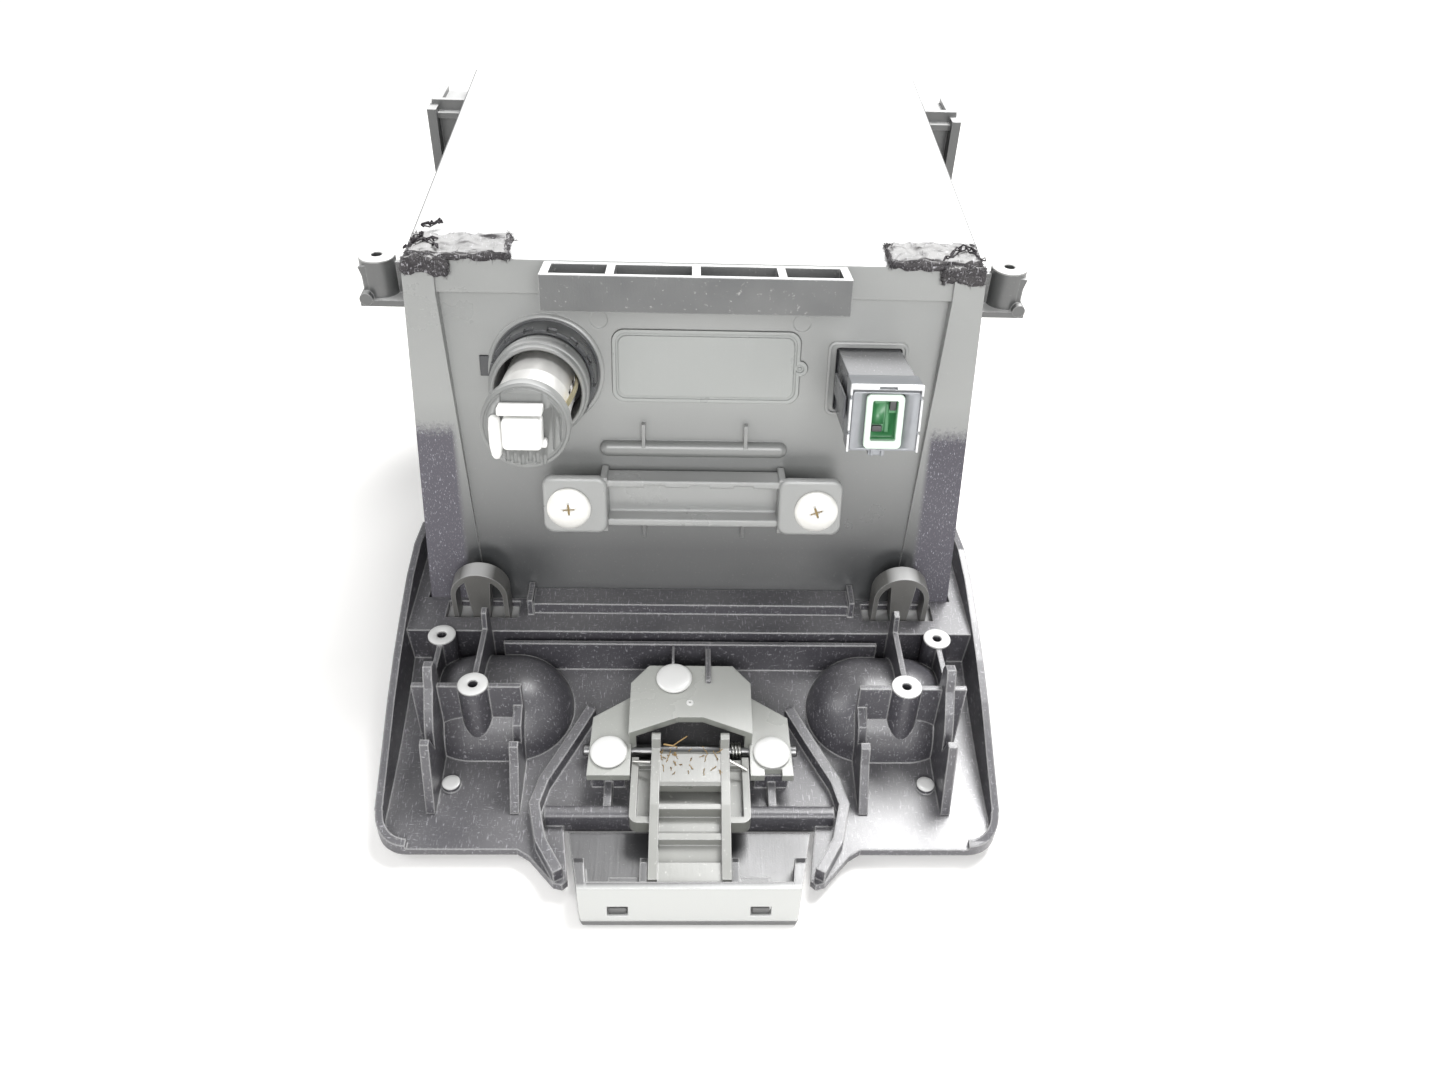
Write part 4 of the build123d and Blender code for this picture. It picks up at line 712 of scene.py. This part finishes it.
# Heads of the heat stakes, tops of the screw bosses and the marks of the ejector
# pins on the face panel: spots of the same plastic, painted near white as a painted highlight.
stake_painted_highlight = moulded_plastic("stake_painted_highlight", (0.78, 0.78, 0.76), 0.30, grain=0.08, dust=0.2, top_highlight=0.6)
retainer_tilt = math.radians(5)
retainer_y, retainer_z = -98.933, 18.6
stake_outline = ((5.4, -0.6), (6.1, -0.5), (6.2, 0.1), (5.9, 0.45), (5.2, 0.66), (3.6, 0.78), (1.8, 0.8))
for name, across, back, rise in (("top", -5.8, 25.6, 7.0), ("left", -27.1, -0.4, 0.85),
                                 ("right", 27.1, -0.4, 0.85)):
    head = turned(f"stake_head_{name}", stake_outline, 72)
    head_y = retainer_y + back * math.cos(retainer_tilt) - rise * math.sin(retainer_tilt)
    head_z = retainer_z + back * math.sin(retainer_tilt) + rise * math.cos(retainer_tilt)
    put(head, (across, head_y, head_z), (retainer_tilt, 0, 0))
    hand_in(head, stake_painted_highlight)
gate_outline = ((0.5, 0.25), (1.05, 0.25), (1.25, 0.05), (1.3, -0.5), (0.5, -0.5), (0.5, 0.25))
gate = turned("gate_mark", gate_outline, 32, closed=True)
put(gate, (-0.3, -83.8, 26.3))
hand_in(gate, stake_painted_highlight)
pin_outline = ((2.95, -0.4), (2.98, 0.05), (2.75, 0.2), (1.5, 0.2))
pin_across, pin_y, pin_z = 79.4, -104.533, 9.4
for side, name in ((-1, "left"), (1, "right")):
    for kind, across, y, z, radius, bore in (("front", 71.2, -88.533, 40.0, 5.0, 1.7),
                                             ("rear", 87.0, -60.133, 34.0, 4.8, 1.7),
                                             ("ear", 101.6, -6.033, 150.0, 5.8, 1.9)):
        boss_outline = ((bore, -0.3), (bore, 0.2), (bore + 0.5, 0.45), (radius - 0.7, 0.45),
                        (radius - 0.1, 0.2), (radius + 0.02, -0.3), (bore, -0.3))
        boss_top = turned(f"{kind}_boss_top_{name}", boss_outline, 64, closed=True)
        put(boss_top, (side * across, y, z))
        hand_in(boss_top, stake_painted_highlight)
    mark = turned(f"pin_mark_{name}", pin_outline, 48)
    put(mark, (side * pin_across, pin_y, pin_z))
    hand_in(mark, stake_painted_highlight)

# Stake ribs: a thin and a wide rib, moulded with the face panel, that brace the post
# of the top stake against the lip in front of the shelf.
for name, across, wide, near, far, low, top in (("thin", -6.3, 0.9, -68.2, -59.8, 14.8, 29.2),
                                                ("wide", 6.0, 2.0, -75.5, -59.8, 14.2, 28.2)):
    rib = rounded_block(f"stake_rib_{name}", (across, (near + far) / 2, (low + top) / 2),
                        (wide, far - near, top - low), edge=min(0.4, wide * 0.3))
    hand_in(rib, panel_plastic)

# Spring legs: the two bright ends of the torsion spring, bent forward from its coil
# to rest on the lever's basket, so they turn with the lever.
wire_radius = 0.5
for name, start, end in (("left", (-18.9, -102.3, 17.9), (-12.9, -104.4, 20.2)),
                         ("right", (12.9, -103.7, 20.4), (18.7, -105.6, 17.9))):
    along = Vector(end) - Vector(start)
    leg = turned(f"spring_leg_{name}", ((wire_radius, 0), (wire_radius, along.length)), 16)
    put(leg, start, along.to_track_quat("Z", "Y").to_euler())
    hand_in(leg, spring_wire, "lever")

# Felt on the two top corners: black needle felt, glued over the cheek's end and
# along the top edge, with its nap standing up and painted pale on top as a painted highlight.
felt_wool = moulded_plastic("felt_wool", (0.050, 0.046, 0.050), 0.85, grain=0.6, dust=0.6, top_highlight=0.38,
                            fuzz=0.8, ior=1.3)
felt_nap = moulded_plastic("felt_nap", (0.30, 0.29, 0.30), 0.85, grain=0.1, dust=0.2, top_highlight=0.3, ior=1.3)
strip_outer = 90.0
lump_scale, lump_high, curl_high = 260, 0.0013, 0.0006
nap_long = 0.0013
noise.seed_set(5)


def felt_pad(name, middle, size, seed):
    pad = rounded_block(name, middle, size, edge=min(size) * 0.42)
    bpy.ops.object.mode_set(mode="EDIT")
    bpy.ops.mesh.select_all(action="SELECT")
    bpy.ops.mesh.subdivide(number_cuts=9)
    bpy.ops.object.mode_set(mode="OBJECT")
    round_off = pad.modifiers.new("round_off", "SUBSURF")
    round_off.levels = round_off.render_levels = 1
    bpy.ops.object.modifier_apply(modifier="round_off")
    for vertex in pad.data.vertices:
        spot = vertex.co * lump_scale + Vector((seed, 0, 0))
        vertex.co += noise.noise_vector(spot) * lump_high + noise.noise_vector(spot * 4) * curl_high
    return pad


def nap(pad, name, count, seed):
    dice = random.Random(seed)
    polygons = list(pad.data.polygons)
    bpy.ops.object.select_all(action="DESELECT")
    bpy.ops.mesh.primitive_cone_add(vertices=3, radius1=0.00013, radius2=0.00004, depth=0.0006,
                                    location=polygons[0].center)
    tuft = bpy.context.object
    tuft.name = name
    bpy.ops.object.transform_apply(location=True, rotation=True, scale=True)
    bpy.ops.object.mode_set(mode="EDIT")
    for _ in range(count):
        spot = dice.choice(polygons)
        lean = Vector([dice.gauss(0, 0.7) for _ in range(3)])
        reach = nap_long * dice.uniform(0.5, 1.3)
        aim = (spot.normal + lean).normalized()
        bpy.ops.mesh.primitive_cone_add(vertices=3, radius1=0.00008, radius2=0.00003, depth=reach,
                                        location=spot.center + aim * reach * 0.45,
                                        rotation=aim.to_track_quat("Z", "Y").to_euler())
    bpy.ops.object.mode_set(mode="OBJECT")
    return tuft


for side, name, strip_inner in ((-1, "left", 58.5), (1, "right", 60.5)):
    strip = felt_pad(f"top_edge_felt_{name}", (side * (strip_inner + strip_outer) / 2, -8.4, 154.2),
                     (strip_outer - strip_inner, 14.6, 3.4), 3 * side)
    end = felt_pad(f"cheek_end_felt_{name}", (side * 84.4, -15.4, 151.6), (14.6, 3.6, 6.4), 5 * side)
    for number, (pad, count) in enumerate(((strip, 420), (end, 220))):
        hairs = nap(pad, f"{pad.name}_nap", count, 11 + number + side)
        hand_in(hairs, felt_nap)
        hand_in(pad, felt_wool, instead=(f"felt_strip_{name}",))

# Lint: loose dark fibres curled over the corner felts, and pale dust fibres and a
# bit of twig caught on the latch lever.
lint_dark = moulded_plastic("lint_dark", (0.05, 0.045, 0.05), 0.8, grain=0.2, dust=0.1, ior=1.3)
lint_straw = moulded_plastic("lint_straw", (0.42, 0.28, 0.12), 0.7, grain=0.2, dust=0.1, ior=1.4)
basket_y, basket_z, basket_slope = -104, 22.3, 0.0765


def fibre(name, points, radius, finish, carrier):
    bpy.ops.object.select_all(action="DESELECT")
    bpy.ops.mesh.primitive_circle_add(vertices=6, radius=radius / 1000, location=(0, 0, 0))
    strand = bpy.context.object
    strand.name = name
    first, second = Vector(points[0]), Vector(points[1])
    put(strand, first, (second - first).to_track_quat("Z", "Y").to_euler())
    bpy.ops.object.mode_set(mode="EDIT")
    bpy.ops.mesh.select_all(action="SELECT")
    for before, after in zip(points, points[1:]):
        bpy.ops.mesh.extrude_edges_move()
        bpy.ops.transform.translate(value=(Vector(after) - Vector(before)) / 1000)
    bpy.ops.mesh.select_all(action="SELECT")
    bpy.ops.mesh.fill_holes(sides=0)
    bpy.ops.mesh.select_all(action="SELECT")
    bpy.ops.mesh.normals_make_consistent(inside=False)
    bpy.ops.object.mode_set(mode="OBJECT")
    smooth(strand, 60)
    hand_in(strand, finish, carrier)


def wander(start, end, bends, spread, dice):
    start, end = Vector(start), Vector(end)
    path = [start]
    for bend in range(1, bends):
        sway = Vector([dice.uniform(-spread, spread) for _ in range(3)])
        path.append(start.lerp(end, bend / bends) + sway)
    path.append(end)
    return path


dice = random.Random(7)
for number, (start, end) in enumerate((((-90.5, -14.0, 156.2), (-86.5, -5.0, 157.0)),
                                       ((-87.0, -4.6, 156.8), (-80.0, -14.0, 156.4)),
                                       ((-88.0, 2.0, 156.6), (-82.0, 5.0, 156.8)),
                                       ((-89.0, -9.0, 156.6), (-81.0, -8.0, 156.9)),
                                       ((77.5, -15.0, 156.0), (86.0, -6.5, 157.2)),
                                       ((86.0, -6.5, 157.2), (90.8, -14.6, 156.0)))):
    for twin in range(3):
        fibre(f"corner_lint_{number}_{twin}", wander(start, end, 9, 0.9, dice), 0.28, lint_dark, "console")
for number in range(34):
    across = dice.choice((-8.9, -7.2, -4.5, 0.0, 4.5, 7.8, 8.9))
    start = [across + dice.uniform(-1, 1), dice.uniform(-110, -99.5)]
    end = [start[0] + dice.uniform(-2.0, 2.0), start[1] + dice.uniform(-3, 2)]
    start, end = [(*spot, basket_z + (spot[1] - basket_y) * basket_slope) for spot in (start, end)]
    fibre(f"straw_{number}", wander(start, end, 5, 0.25, dice), 0.14, lint_straw, "lever")
twig_fork = (-5.8, -100.3, 23.6)
twig_path = ((-8.9, -99.2, 23.0), twig_fork, (-3.6, -98.8, 24.2), (-1.2, -97.3, 24.8))
fibre("twig", twig_path, 0.28, lint_straw, "lever")
fibre("twig_side", (twig_fork, (-4.6, -101.6, 24.6)), 0.2, lint_straw, "lever")

low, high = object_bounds()
